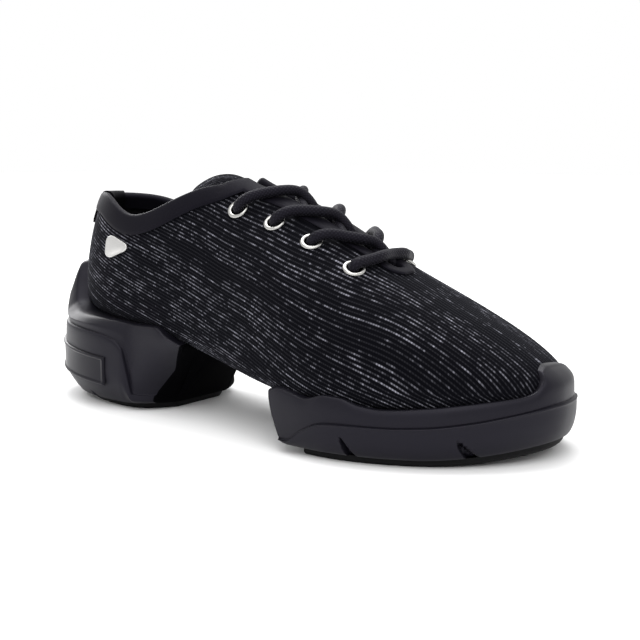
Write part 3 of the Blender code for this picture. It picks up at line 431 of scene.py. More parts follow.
# Knitted polyester jersey with a silver lurex yarn: matt black ribs that run along the foot, with bright
# broken dashes of the metal yarn lying on them, and every dash is a row of tiny stitches
def knitMaterial(name, dash):
    made, tree, shader = newMaterial(name, {
        "Roughness": 0.85,
        "Specular IOR Level": 0.045,
        "Specular Tint": hexColor("#d3d0ee"),
        "Sheen Weight": 0.04,
        "Sheen Roughness": 0.4,
        "Sheen Tint": hexColor("#b9bccb"),
    })
    cloth = addNode(tree, "UVMap", uv_map="cloth")
    split = addNode(tree, "SeparateXYZ", {0: cloth})
    # ribs, a little wavy: the row's number, the place in it, and its thread
    wobble = addNode(tree, "TexNoise", {"Vector": cloth, "Scale": 0.022, "Detail": 1.0})
    across = addNode(tree, "Math", {0: wobble, 1: 1.8, 2: split.outputs[1]}, operation="MULTIPLY_ADD")
    rows = addNode(tree, "Math", {0: across, 1: 1 / knit["rib"]}, operation="MULTIPLY")
    row = addNode(tree, "Math", {0: rows}, operation="FLOOR")
    inRow = addNode(tree, "Math", {0: rows}, operation="FRACT")
    ridge = addNode(tree, "Math", {0: inRow, 1: 0.5}, operation="PINGPONG")
    thread = addNode(tree, "MapRange", {"Value": ridge, "From Min": 0.24, "From Max": 0.46},
                     interpolation_type="SMOOTHSTEP")
    # dashes: noise along each row, shifted by the row's chance, and more of them in some patches
    chance = addNode(tree, "TexWhiteNoise", {"W": row}, noise_dimensions="1D")
    shift = addNode(tree, "Math", {0: chance, 1: 83.0, 2: split.outputs[0]}, operation="MULTIPLY_ADD")
    apart = addNode(tree, "Math", {0: row, 1: 31.7}, operation="MULTIPLY")
    where = addNode(tree, "CombineXYZ", {0: shift, 1: apart})
    dashes = addNode(tree, "TexNoise", {"Vector": where, "Scale": 1 / dash, "Detail": 3.0, "Roughness": 0.7},
                     noise_dimensions="2D")
    patch = addNode(tree, "Mapping", {"Vector": cloth, "Scale": (0.03, 0.12, 1.0)})
    patches = addNode(tree, "TexNoise", {"Vector": patch, "Scale": 1.0, "Detail": 2.0}, noise_dimensions="2D")
    level = addNode(tree, "Math", {0: patches, 1: 0.45, 2: dashes}, operation="MULTIPLY_ADD")
    level = addNode(tree, "Math", {0: chance, 1: 0.22, 2: level}, operation="MULTIPLY_ADD")
    shown = addNode(tree, "MapRange", {"Value": level, "From Min": 0.80, "From Max": 1.06})
    # stitches: beads along the row, half a step apart from row to row, some brighter than others
    loops = addNode(tree, "Math", {0: split.outputs[0], 1: 1 / knit["stitch"]}, operation="MULTIPLY")
    loops = addNode(tree, "Math", {0: row, 1: 0.5, 2: loops}, operation="MULTIPLY_ADD")
    number = addNode(tree, "Math", {0: loops}, operation="FLOOR")
    single = addNode(tree, "CombineXYZ", {0: number, 1: row})
    lucky = addNode(tree, "TexWhiteNoise", {"Vector": single}, noise_dimensions="2D")
    spark = addNode(tree, "MapRange", {"Value": lucky, "To Min": 0.15, "To Max": 1.25})
    loops = addNode(tree, "Math", {0: loops, 1: 0.5}, operation="PINGPONG")
    beads = addNode(tree, "MapRange", {"Value": loops, "From Min": 0.05, "From Max": 0.35, "To Min": 0.35})
    yarn = addNode(tree, "Math", {0: thread, 1: beads}, operation="MULTIPLY")
    metal = addNode(tree, "Math", {0: yarn, 1: shown}, operation="MULTIPLY")
    metal = addNode(tree, "Math", {0: metal, 1: spark}, operation="MULTIPLY")
    faint = addNode(tree, "Math", {0: yarn, 1: 0.02}, operation="MULTIPLY")
    amount = addNode(tree, "Math", {0: metal, 1: knit["bright"], 2: faint}, operation="MULTIPLY_ADD")
    color = addNode(tree, "Mix", {0: amount, 6: hexColor(knit["base"]), 7: hexColor(knit["metal"])},
                    data_type="RGBA")
    gloss = addNode(tree, "MapRange", {"Value": metal, "To Min": 0.9, "To Max": 0.5})
    height = addNode(tree, "Math", {0: yarn, 1: 0.7, 2: ridge}, operation="MULTIPLY_ADD")
    bump = addNode(tree, "Bump", {"Height": height, "Strength": 0.45, "Distance": 0.3 * mm})
    setInputs(tree, shader, {"Base Color": color, "Roughness": gloss, "Normal": bump})
    return made


# Woven polyester binding tape, calendered: a smooth dark satin that shows a soft highlight along its fold
def tapeMaterial(name, dark, light, level):
    made, tree, shader = newMaterial(name, {
        "Roughness": 0.56,
        "Specular IOR Level": level,
        "Specular Tint": hexColor("#cdc8e6"),
        "Sheen Weight": 0.03,
        "Sheen Roughness": 0.35,
        "Sheen Tint": hexColor("#a9a6b8"),
    })
    cloth = addNode(tree, "UVMap", uv_map="cloth")
    weave = addNode(tree, "TexNoise", {"Vector": cloth, "Scale": 2.6, "Detail": 2.0})  # 0.4 mm yarns
    tone = addNode(tree, "TexNoise", {"Vector": cloth, "Scale": 0.06, "Detail": 1.0})
    color = addNode(tree, "Mix", {0: tone, 6: hexColor(dark), 7: hexColor(light)}, data_type="RGBA")
    bump = addNode(tree, "Bump", {"Height": weave, "Strength": 0.25, "Distance": 0.12 * mm})
    setInputs(tree, shader, {"Base Color": color, "Normal": bump})
    return made


# Brushed nylon lining over foam: a matt short nap without any highlight
def liningMaterial():
    made, tree, shader = newMaterial("brushedNylonLining", {"Roughness": 0.95, "Specular IOR Level": 0.08})
    place = addNode(tree, "TexCoord").outputs["Object"]
    nap = addNode(tree, "TexNoise", {"Vector": place, "Scale": 1400.0, "Detail": 3.0})  # 0.7 mm tufts
    color = addNode(tree, "Mix", {0: nap, 6: hexColor("#0c0c0e"), 7: hexColor("#17171a")}, data_type="RGBA")
    bump = addNode(tree, "Bump", {"Height": nap, "Strength": 0.5, "Distance": 0.3 * mm})
    setInputs(tree, shader, {"Base Color": color, "Normal": bump})
    return made


# Injection-moulded EVA foam with a fine satin mould skin: dark grey black, broad soft highlights
def foamMaterial(name, dark, light, roughness=0.42, level=0.27):
    made, tree, shader = newMaterial(name, {
        "Roughness": roughness,
        "IOR": 1.47,
        "Specular IOR Level": level,
        "Specular Tint": hexColor("#d6d3e3"),
    })
    place = addNode(tree, "TexCoord").outputs["Object"]
    grain = addNode(tree, "TexNoise", {"Vector": place, "Scale": 1900.0, "Detail": 2.0})  # 0.5 mm grain
    cloud = addNode(tree, "TexNoise", {"Vector": place, "Scale": 38.0, "Detail": 3.0})
    rubbed = addNode(tree, "MapRange", {"Value": cloud, "From Min": 0.35, "From Max": 0.7,
                                        "To Min": roughness - 0.05, "To Max": roughness + 0.08})
    color = addNode(tree, "Mix", {0: cloud, 6: hexColor(dark), 7: hexColor(light)}, data_type="RGBA")
    bump = addNode(tree, "Bump", {"Height": grain, "Strength": 0.18, "Distance": 0.15 * mm})
    setInputs(tree, shader, {"Base Color": color, "Roughness": rubbed, "Normal": bump})
    return made


# Vulcanised rubber outsole, moulded: dull near black with a dusty, uneven roughness
def rubberMaterial():
    made, tree, shader = newMaterial("mouldedRubber", {
        "Roughness": 0.7,
        "IOR": 1.5,
        "Specular IOR Level": 0.15,
    })
    place = addNode(tree, "TexCoord").outputs["Object"]
    grain = addNode(tree, "TexNoise", {"Vector": place, "Scale": 900.0, "Detail": 4.0})
    color = addNode(tree, "Mix", {0: grain, 6: hexColor("#080809"), 7: hexColor("#0e0e10")}, data_type="RGBA")
    rough = addNode(tree, "MapRange", {"Value": grain, "To Min": 0.55, "To Max": 0.85})
    bump = addNode(tree, "Bump", {"Height": grain, "Strength": 0.3, "Distance": 0.2 * mm})
    setInputs(tree, shader, {"Base Color": color, "Roughness": rough, "Normal": bump})
    return made


# Nickel-plated brass, barrel polished: bright with faint handling marks
def nickelMaterial():
    made, tree, shader = newMaterial("platedNickel", {
        "Base Color": hexColor("#b4b3b0"),
        "Metallic": 1.0,
        "Roughness": 0.22,
    })
    place = addNode(tree, "TexCoord").outputs["Object"]
    marks = addNode(tree, "TexNoise", {"Vector": place, "Scale": 700.0, "Detail": 4.0})
    rough = addNode(tree, "MapRange", {"Value": marks, "From Min": 0.3, "From Max": 0.7,
                                       "To Min": 0.14, "To Max": 0.34})
    setInputs(tree, shader, {"Roughness": rough})
    return made


# Stamped zinc plate with a brushed face: pale silver streaks along its length
def brushedMaterial():
    made, tree, shader = newMaterial("brushedZinc", {"Metallic": 1.0, "Roughness": 0.3})
    cloth = addNode(tree, "UVMap", uv_map="cloth")
    streak = addNode(tree, "Mapping", {"Vector": cloth, "Scale": (0.25, 9.0, 1.0)})  # hairlines, 0.1 mm
    lines = addNode(tree, "TexNoise", {"Vector": streak, "Scale": 1.0, "Detail": 3.0})
    color = addNode(tree, "Mix", {0: lines, 6: hexColor("#b4b3b1"), 7: hexColor("#dedddb")}, data_type="RGBA")
    rough = addNode(tree, "MapRange", {"Value": lines, "To Min": 0.22, "To Max": 0.45})
    bump = addNode(tree, "Bump", {"Height": lines, "Strength": 0.2, "Distance": 0.05 * mm})
    setInputs(tree, shader, {"Base Color": color, "Roughness": rough, "Normal": bump})
    return made


# Braided polyester cord: matt black, its strands cross in a fine herringbone; its colour is darker in the
# dips between them, which is painted shade
def braidMaterial(slope=0.62):  # strands 1.15 mm apart
    made, tree, shader = newMaterial("braidedCord", {
        "Roughness": 0.58,
        "Specular IOR Level": 0.17,
        "Specular Tint": hexColor("#cdc8e6"),
        "Sheen Weight": 0.05,
        "Sheen Roughness": 0.4,
        "Sheen Tint": hexColor("#b4b4be"),
    })
    cloth = addNode(tree, "UVMap", uv_map="cloth")
    split = addNode(tree, "SeparateXYZ", {0: cloth})
    along = addNode(tree, "Math", {0: split.outputs[0], 1: slope}, operation="MULTIPLY")
    lay = []
    for sign in (1.0, -1.0):
        slant = addNode(tree, "Math", {0: split.outputs[1], 1: sign * slope, 2: along},
                        operation="MULTIPLY_ADD")
        lay.append(addNode(tree, "Math", {0: slant, 1: 0.5}, operation="PINGPONG"))
    over = addNode(tree, "Math", {0: lay[0], 1: lay[1]}, operation="MULTIPLY")
    height = addNode(tree, "MapRange", {"Value": over, "From Min": 0.0, "From Max": 0.22},
                     interpolation_type="SMOOTHSTEP")
    # painted shade: the colour goes darker where the strands dip and lighter on their crossings
    color = addNode(tree, "Mix", {0: height, 6: hexColor("#0b0a0d"), 7: hexColor("#1b1a20")},
                    data_type="RGBA")
    bump = addNode(tree, "Bump", {"Height": height, "Strength": 0.6, "Distance": 0.25 * mm})
    setInputs(tree, shader, {"Base Color": color, "Normal": bump})
    return made


knitLook = knitMaterial("lurexKnit", knit["dash"])
tongueLook = knitMaterial("lurexKnitTongue", knit["tongueDash"])
tapeLook = tapeMaterial("wovenSatinTape", "#09080d", "#0f0e13", 0.10)
tabLook = tapeMaterial("wovenBlackTab", "#050506", "#0a0a0b", 0.06)
liningLook = liningMaterial()
foamLook = foamMaterial("mouldedFoam", "#0c0b10", "#131219")
# the heel's face at the arch: the dark foam made near black and hardly reflecting, which is painted shade
paintedShadeBreastLook = foamMaterial("darkFoamPaintedShade", "#020203", "#040405", 0.9, 0.03)
plateLook = foamMaterial("mouldedPlate", "#0a0a0d", "#100f14", 0.36)
rubberLook = rubberMaterial()
nickelLook = nickelMaterial()
brushedLook = brushedMaterial()
braidLook = braidMaterial()
print("materials made")

eyelets = {
    "count": 4,
    "first": 0.456,  # station
    "pitch": 20.2 * mm,
    "toEdge": (19.0 * mm, 16.5 * mm),  # first and last, from the throat's edge
    "bore": 5.8 * mm,
    "flange": 9.6 * mm,
    "hole": 3.8 * mm,  # radius
    "holeDeep": 6 * mm,  # on both sides of the fabric
    "base": 0.3 * mm,  # height at which the flange's half round starts
    "bulge": 0.85 * mm,  # its own height
    "lip": 0.5 * mm,  # the wall of the barrel inside
    "facets": 56,
}


def eyeletPlaces(side):  # middle and way out of each eyelet of a side
    places = []
    for k in range(eyelets["count"]):
        turn = turnWhereSpine(eyelets["first"] + k * eyelets["pitch"] / last["length"])
        share = k / (eyelets["count"] - 1)
        distance = eyelets["toEdge"][0] + (eyelets["toEdge"][1] - eyelets["toEdge"][0]) * share
        where = belowEdge(np.array(side), np.array(turn), distance)
        places.append((lastPoint(*where), lastNormal(*where)))
    return places


def pierced(points, quads):  # leaves out the faces that lie within a hole
    centre = points.reshape(-1, 3)[quads].mean(1)
    for side in sides:
        for at, out in eyeletPlaces(side):
            gap = centre - at
            depth = gap @ out
            off = np.linalg.norm(gap - depth[:, None] * out, axis=1)
            keep = (off > eyelets["hole"]) | (np.abs(depth) > eyelets["holeDeep"])
            quads, centre = quads[keep], centre[keep]
    return quads


upper = {
    "sections": 300,
    "levelsBelow": 18,  # under the widest line
    "levelsAbove": 52,
    "ribFall": 0.32,  # how far the ribs fall over their length behind the throat
    "guideFrom": 0.46,
    "fan": (0.42, 0.96),  # between these stations they spread more and more to the sides
    "fanShare": 0.62,
    "ribJoin": (0.42, 0.60),  # between these stations they swing over to follow the crown
    "heelArch": 16.0,  # mm that the ribs rise towards the back of the heel
    "heelArchLength": 13.0,
    # soft creases: side, station and height (mm) of both ends, depth and half width (mm)
    "creases": [
        (-1, 0.20, 80, 0.34, 66, 0.9, 3.0),
        (-1, 0.23, 86, 0.33, 80, 0.7, 2.5),
        (-1, 0.16, 62, 0.30, 52, 0.6, 3.5),
        (-1, 0.34, 36, 0.50, 31, 0.5, 3.0),
        (-1, 0.66, 52, 0.72, 36, 0.5, 3.0),
        (-1, 0.70, 62, 0.78, 44, 0.4, 3.5),
        (1, 0.21, 80, 0.35, 68, 0.9, 3.0),
        (1, 0.34, 38, 0.50, 30, 0.6, 3.0),
        (1, 0.66, 54, 0.73, 38, 0.6, 3.0),
    ],
}


def sectionTurns(count):  # even in turn, but close together at the throat's round end
    radius = last["throatEndGap"] / 2 / last["length"]
    roundEnd = turnWhereSpine(last["throatEnd"] - radius * (1 - np.cos(np.linspace(math.pi / 2, 0, 12))))
    share = int(count * 0.75)
    return np.concatenate([np.linspace(0, roundEnd[0], share)[:-1], roundEnd,
                           np.linspace(roundEnd[-1], math.pi, count - share)[1:]])


# height lost in a crease: depth times a bell across its line and a soft end at both its ends
def creaseDepth(side, points):
    total = np.zeros(points.shape[:-1])
    here = np.stack([points[..., 0], points[..., 2]], -1) / mm
    for which, s0, z0, s1, z1, depth, width in upper["creases"]:
        start = np.array([xOf(s0) / mm, z0])
        run = np.array([xOf(s1) / mm, z1]) - start
        length = np.linalg.norm(run)
        along = ((here - start) @ run) / length ** 2
        off = (here - start) @ np.array([-run[1], run[0]]) / length
        ends = soft(along, -0.1, 0.3) * soft(-along, -1.1, -0.6)
        total += np.where(side == which, depth * np.exp(-(off / width) ** 2) * ends, 0)
    return total * mm


def crownHeight(x):  # height of the middle line over x, on down the toe
    ridge = lastPoint(-1.0, np.linspace(0, math.pi, 300), math.pi / 2)
    toe = lastPoint(-1.0, math.pi, np.linspace(math.pi / 2, 0, 200)[1:])
    line = np.concatenate([ridge, toe])
    return np.interp(x, line[:, 0], line[:, 2])


# How far the knit has run, in mm: u along the foot; v up across the ribs, minus the distance
# sqrt(share dy^2 + dz^2) from a guide line that falls straight behind and follows the crown in front
def knitUv(side, turn, lift, points):
    dense = np.linspace(0, math.pi, 1200)
    lengths = [lengthAlong(outline(s, dense)) for s in sides]
    around = np.where(side < 0, np.interp(turn, dense, lengths[0]), np.interp(turn, dense, lengths[1])) / mm
    x = points[..., 0] / mm
    z = points[..., 2] / mm
    start = np.interp(turnOf(0.27), dense, lengths[0]) / mm - xOf(0.27) / mm
    station = stationOf(points[..., 0])
    u = around + (x + start - around) * soft(station, 0.16, 0.36)
    offSide = (points[..., 1] - fromPlan("axis", turnOf(station)) * last["ballWidth"]) / mm
    lowest = section(side, turn)[2] / mm
    arc = lengthAlong(points) / mm
    atWidest = np.take_along_axis(arc, np.argmin(np.abs(lift), -1)[..., None], -1)
    under = np.where(lift < 0, atWidest - arc, 0)
    guideStart = xOf(upper["guideFrom"])
    curved = crownHeight(np.maximum(points[..., 0], guideStart)) / mm
    straight = crownHeight(guideStart) / mm + upper["ribFall"] * (guideStart / mm - x)
    swing = soft(station, *upper["ribJoin"])
    guide = straight * (1 - swing) + curved * swing
    arch = upper["heelArch"] * np.exp(-around / upper["heelArchLength"])
    offTop = np.maximum(guide - np.maximum(z, lowest), 0) + arch
    share = upper["fanShare"] * soft(station, *upper["fan"])
    return np.stack([u, -np.sqrt(share * offSide ** 2 + offTop ** 2) - under], -1)


def buildUpper():
    turns = sectionTurns(upper["sections"])
    turn = turns[None, :, None]
    side = sides[:, None, None]
    top = edgeLift(sides[:, None], turns[None, :])[..., None]
    below = upper["levelsBelow"]
    low = -math.pi / 2 * (1 - np.linspace(0, 1, below + 1)[:-1])
    high = np.linspace(0, 1, upper["levelsAbove"])
    lift = np.concatenate([np.broadcast_to(low, top.shape[:2] + (below,)), top * high], -1)
    side, turn, lift = np.broadcast_arrays(side, turn, lift)
    place = lastPoint(side, turn, lift)
    middle = np.abs(np.abs(lift) - math.pi / 2) < 1e-6
    middle[:, [0, -1]] = True
    out = joinNormals(lastNormal(side, turn, lift), middle)
    uv = knitUv(side, turn, lift, place)
    fade = soft(np.abs(top - lift), 0.02, 0.25)
    print("knit sheet", round(lengthAlong(place[:, :, below])[:, -1].sum() / mm), "mm round and",
          round(lengthAlong(place).max() / mm), "mm from the underside's middle up to the edge")
    outer = place - out * (creaseDepth(side, place) * fade)[..., None]
    inner = place - out * last["fabric"]
    grid = lift.shape[1:]
    openRows = int((turns < turnWhereSpine(last["throatEnd"]) + 1e-6).sum())
    parts = []
    for s in range(2):
        parts.append((outer[s], pierced(outer[s], gridFaces(*grid, flip=s == 1)), uv[s], 0))
        parts.append((inner[s], pierced(inner[s], gridFaces(*grid, flip=s == 0)), uv[s], 1))
        parts.append(strip(outer[s, :openRows, -1], inner[s, :openRows, -1], s == 0, 1))
    makePiece("knitUpper", parts, [knitLook, liningLook], "upper", sharp=60)


buildUpper()
print("knit upper made")

tapes = {
    "width": 8.0 * mm,
    "taper": 0.45,  # share of the width that is lost by the throat's round end
    "thick": 0.8 * mm,
    "lift": 0.4 * mm,
    "bulge": 0.25 * mm,
    "tabWidth": 16 * mm,
    "tabDrop": 15 * mm,
    "tabGap": 0.05 * mm,
}


# A folded band: down the inner face, round the edge in a half circle, and down the outer face, whose
# middle stands out by the bulge times sin(pi times the share of its width)
def foldedBand(side, turn, depthOut, depthIn, lift, thick, bulge):
    at, into, out = edgeFrame(side, turn)
    fabric = last["fabric"]
    rings = []

    def leg(distance, height):
        distance = np.broadcast_to(distance, turn.shape)[:, None]
        where = nearest(at + into * distance, side, turn, edgeLift(side, turn))
        rings.append(lastPoint(*where) + lastNormal(*where) * height)

    for share in np.linspace(1, 0.12, 9):
        tucked = 0.3 * mm if share == 1 else 0
        leg(depthOut * share, lift + thick + bulge * math.sin(math.pi * share) ** 0.7 - tucked)
    middle = -fabric / 2
    reach = fabric / 2 + lift + thick
    for angle in np.linspace(math.pi / 2, -math.pi / 2, 9):
        rings.append(at + out * (middle + reach * math.sin(angle)) - into * reach * 0.75 * math.cos(angle))
    for share in np.linspace(0.15, 1, 5):
        leg(depthIn * share, -fabric - lift - thick)
    leg(depthIn, -fabric - lift * 0.5)
    leg(depthOut * 0.05, -fabric - lift * 0.5)
    rings.append(at + out * lift * 0.4 - into * lift * 0.4)
    leg(depthOut, lift * 0.5)
    return np.stack(rings, 1)


def buildTapes():
    turns = sectionTurns(360)
    count = int((turns < turnWhereSpine(last["throatEnd"]) + 1e-6).sum())
    turn = np.concatenate([turns[:count][::-1], turns[1:count - 1]])
    side = np.concatenate([-np.ones(count), np.ones(count - 2)])
    width = tapes["width"] * (1 - tapes["taper"] * soft(fromPlan("spine", turn), 0.56, 0.72))
    rings = foldedBand(side, turn, width, width * 0.75, tapes["lift"], tapes["thick"], tapes["bulge"])
    u = lengthAlong(rings[:, 8][None])[0][:, None] / mm * np.ones(rings.shape[1])
    v = lengthAlong(rings) / mm
    print("tape length", round(u.max()), "girth", round(v.max()))
    band = rings, gridFaces(*rings.shape[:2], True, True), np.stack([u, v], -1), 0
    makePiece("collarTape", [band], [tapeLook], "collar_binding")
    dense = np.linspace(0, 0.8, 200)
    half = np.interp(tapes["tabWidth"] / 2, np.abs(outline(1.0, dense)[:, 1]), dense)
    around = np.linspace(-half, half, 33)
    side = np.where(around < 0, -1.0, 1.0)
    lift = tapes["lift"] + tapes["thick"] + tapes["bulge"] + tapes["tabGap"]
    drop = tapes["tabDrop"]
    rings = foldedBand(side, np.abs(around), drop, drop * 0.8, lift, tapes["thick"], 0)
    u = np.broadcast_to(np.linspace(0, tapes["tabWidth"] / mm, 33)[:, None], rings.shape[:2])
    uv = np.stack([u, lengthAlong(rings) / mm], -1)
    middle = rings.shape[1] // 2
    # its cut ends are closed from the outer half of the ring over to the inner one
    ends = [strip(loop[:middle], loop[::-1][:middle]) for loop in (rings[0], rings[-1])]
    band = rings, gridFaces(*rings.shape[:2], False, True), uv, 0
    makePiece("heelTab", [band, *ends], [tabLook], "heel_tab")


buildTapes()
print("tapes made")

tongue = {
    "thick": 2.0 * mm,
    "drop": 2.3 * mm,
    "back": 0.297,
    "bend": 0.435,
    "rise": 0.775,
    "curl": 21.5,  # per metre, how its free end rounds over again
    "halfWidth": 22 * mm,
    "slant": 0.55,  # its ribs run across it at a slant
}


# a sheet that follows the last at a constant depth, and behind the bend runs straight on and up
def buildTongue():
    along = np.linspace(0, 1, 110)[:, None]
    across = np.linspace(-1, 1, 61)[None, :]
    back = tongue["back"] + 0.05 * across ** 4
    station = back + (last["throatEnd"] + 0.02 - back) * along
    behind = np.clip(tongue["bend"] - station, 0, None) * last["length"]
    turn = turnWhereSpine(np.maximum(station, tongue["bend"]))
    side = np.where(across * np.ones_like(station) < 0, -1.0, 1.0)
    rim, middle, _, _, shoulder, _ = section(side, turn)
    reach = np.abs(across) * tongue["halfWidth"] / np.abs(rim[..., 1] - middle[..., 1])
    lift = np.arccos(np.clip(reach, 0, 0.95) ** (shoulder / 2))
    place = lastPoint(side, turn, lift)
    out = lastNormal(side, turn, lift)
    out[:, 30] *= upright  # the middle column
    up = behind * tongue["rise"] - behind ** 2 * tongue["curl"]
    place = place + np.stack([-behind, 0 * behind, up], -1)
    print("tongue", round(lengthAlong(place[:, 30])[-1] / mm), "mm long,",
          round(lengthAlong(place[70])[-1] / mm), "mm wide")
    top = last["fabric"] + tongue["drop"]
    edge = np.minimum(soft(1 - np.abs(across), 0, 0.06), soft(along, 0, 0.02))
    puff = 0.35 + 0.65 * edge
    upperFace = place - out * (top + tongue["thick"] / 2 * (1 - puff))[..., None]
    lowerFace = place - out * (top + tongue["thick"] / 2 * (1 + puff))[..., None]
    x = place[..., 0] / mm
    y = place[..., 1] / mm
    uv = np.stack([x + tongue["slant"] * y, y - tongue["slant"] * x], -1)
    grid = place.shape[:2]
    parts = [(upperFace, gridFaces(*grid), uv, 0), (lowerFace, gridFaces(*grid, flip=True), uv, 1)]
    parts += borders(upperFace, lowerFace)
    makePiece("knitTongue", parts, [tongueLook, liningLook], "tongue", sharp=60)


liner = {
    "sections": 160,
    "flat": 0.84,  # share of the foot's width that is level
    "under": 2.4 * mm,  # depths below the last's skin
    "over": 5.8 * mm,
    "border": [(0.87, 5.6), (0.895, 5.0), (0.91, 3.6)],  # share of the width and depth in mm
}


# a pad over the inside of the underside, with a rounded border
def buildLiner():
    turns = np.linspace(0, math.pi, liner["sections"])
    feather = fromProfile("feather", stationAt(turns))[None, :, None]
    rimReach, rimDepth = np.array(liner["border"]).T
    reach = np.concatenate([np.linspace(0, liner["flat"], 12), rimReach])
    depth = np.concatenate([np.full(12, liner["over"]), rimDepth * mm])
    lift = -np.arccos(reach ** (feather / 2)) * np.ones((2, len(turns), 1))
    side, turn = np.broadcast_arrays(sides[:, None, None], turns[None, :, None] * np.ones_like(lift))
    middle = np.zeros(lift.shape, bool)
    middle[:, :, 0] = True
    middle[:, [0, -1]] = True
    out = joinNormals(lastNormal(side, turn, lift), middle)
    place = lastPoint(side, turn, lift)
    above = place - out * depth[:, None]
    below = place - out * liner["under"]
    parts = []
    for s in range(2):
        parts.append((above[s], gridFaces(*lift.shape[1:], flip=s == 1), None, 0))
        parts.append((below[s], gridFaces(*lift.shape[1:], flip=s == 0), None, 0))
        parts.append(strip(above[s, :, -1], below[s, :, -1], s == 1))
    makePiece("sockLiner", parts, [liningLook], "insole")


buildTongue()
buildLiner()
print("tongue and liner made")

soleSizes = {
    "tread": 3.2 * mm,
    "spring": 4.5 * mm,
    "springFrom": 0.85,
    "clearance": 0.3 * mm,
    "lip": 0.9 * mm,
    "lipSteps": (0.12, 0.3, 0.52, 0.76, 1.0),
    "corner": 0.93,  # share of the columns up to the corner where the face at the arch starts
    "innerTurn": 0.4,  # how much farther round the toe bumper reaches on the inner side
}

# rim, step: heights along the side as shares of the wall; rise: 0 to 1 from tread to step, 1 to 2 on to
# the rim; out: mm outside the last; end: where that level stops at the arch
forefoot = {
    "wall": 27 * mm,
    "lines": table(
        "station rim step",
        [
            (0.600, 0.92, 0.17),
            (0.620, 0.96, 0.17),
            (0.650, 0.925, 0.20),
            (0.680, 0.875, 0.40),
            (0.717, 0.955, 0.55),
            (0.744, 0.940, 0.57),
            (0.775, 0.850, 0.575),
            (0.805, 0.815, 0.575),
            (0.865, 0.855, 0.60),
            (0.920, 0.920, 0.67),
            (0.950, 0.955, 0.73),
            (0.972, 0.985, 0.78),
            (0.984, 1.040, 0.81),
            (0.991, 1.170, 0.83),
            (0.996, 1.320, 0.845),
            (1.000, 1.370, 0.85),
        ],
    ),
    "levels": table(
        "rise out end",
        [
            (0.00, 1.9, 0.666),
            (0.06, 2.7, 0.662),
            (0.30, 4.1, 0.653),
            (0.65, 4.75, 0.644),
            (0.91, 4.75, 0.637),
            (0.97, 5.0, 0.635),
            (0.99, 4.75, 0.634),
            (1.00, 4.1, 0.633),
            (1.02, 3.6, 0.632),
            (1.07, 3.7, 0.629),
            (1.50, 3.5, 0.612),
            (1.80, 3.0, 0.604),
            (1.93, 2.5, 0.601),
        ],
    ),
    "slits": [(0.754, 10.5, 5.0, 3.4), (0.917, 10.5, 5.0, 3.4)],  # station, height, width, depth in mm
    "breast": 0,
    "swell": 0,
}
heel = {
    "wall": 66 * mm,
    "lines": table(
        "station rim step",
        [
            (0.000, 1.00, 0.575),
            (0.006, 0.985, 0.575),
            (0.014, 0.92, 0.572),
            (0.024, 0.79, 0.570),
            (0.040, 0.69, 0.566),
            (0.070, 0.645, 0.56),
            (0.140, 0.635, 0.54),
            (0.190, 0.625, 0.50),
            (0.213, 0.620, 0.44),
            (0.224, 0.620, 0.28),
            (0.234, 0.620, 0.12),
            (0.285, 0.620, 0.11),
            (0.320, 0.555, 0.11),
            (0.360, 0.510, 0.11),
        ],
    ),
    "levels": table(
        "rise out end",
        [
            (0.00, 2.4, 0.283),
            (0.05, 3.2, 0.283),
            (0.18, 4.6, 0.285),
            (0.45, 5.9, 0.286),
            (0.80, 5.6, 0.287),
            (0.95, 5.3, 0.288),
            (0.99, 4.9, 0.288),
            (1.01, 3.9, 0.289),
            (1.03, 3.7, 0.290),
            (1.50, 3.0, 0.322),
            (1.85, 2.4, 0.347),
            (1.96, 2.0, 0.354),
        ],
    ),
    "slits": [(0.115, 6.0, 6.0, 2.2)],
    "breast": 20 * mm,  # rounding of the front corners
    "swell": 5.4 * mm,  # how much more the cup bulges behind
}


def floorUnder(station):  # flat, then a parabola up to the toe spring
    past = np.clip((station - soleSizes["springFrom"]) / (1 - soleSizes["springFrom"]), 0, None)
    return soleSizes["spring"] * past ** 2


def sideOfSole(side, turn, out):  # the widest line moved out square to itself
    side, turn = np.broadcast_arrays(np.asarray(side, float), turn)
    small = 0.004
    middle = np.clip(turn, small, math.pi - small)
    run = outline(side, middle + small) - outline(side, middle - small)
    square = unit(np.stack([-run[..., 1], run[..., 0]], -1) * side[..., None])
    tip = (turn < small) | (turn > math.pi - small)
    square = np.where(tip[..., None], np.sign(square) * np.array([1.0, 0.0]), square)
    return outline(side, turn) + square * np.asarray(out)[..., None]


# the lift at which a section stands at this height, and how far it leans in there from its widest line: the
# same superellipse, solved by halving
def atHeight(side, turn, z):
    rim, middle, widest, crown, shoulder, feather = section(side, turn)
    slope = crownSlope(middle[..., 0]) * (rim[..., 0] - middle[..., 0])
    above = np.maximum(z - widest, 0)
    low, high = np.zeros_like(z), np.ones_like(z)
    for _ in range(24):
        reach = (low + high) / 2
        rise = (1 - reach ** shoulder) ** (1 / shoulder)
        tooLow = (crown - widest + slope * reach) * rise < above
        high = np.where(tooLow, reach, high)
        low = np.where(tooLow, low, reach)
    lift = np.arccos(np.clip(reach, 0, 1) ** (shoulder / 2))
    depth = np.clip((widest - z) / np.maximum(widest - bottomAt(rim[..., 0]), mm), 0, 0.9)
    under = -np.arcsin(depth ** (feather / 2))
    lean = np.where((z > widest)[..., None], (reach - 1)[..., None] * (rim - middle), 0)
    return np.where(z > widest, lift, under), lean


# wedge-shaped slits, narrow above: depth times a soft mask of the distance to the slit's slanted middle
def slitDepth(slits, x, z):
    total = np.zeros_like(x)
    for station, high, width, depth in slits:
        low = np.clip(1 - z / (high * mm), 0, 1)
        centre = xOf(station) + (xOf(0.008) - xOf(0) + width / 2 * mm) * low
        half = (0.35 + (width / 2 - 0.35) * low) * mm
        inside = soft(half - np.abs(x - centre), -0.25 * mm, 0.45 * mm)
        total += depth * mm * inside * soft(high * mm - z, 0, 0.8 * mm)
    return total


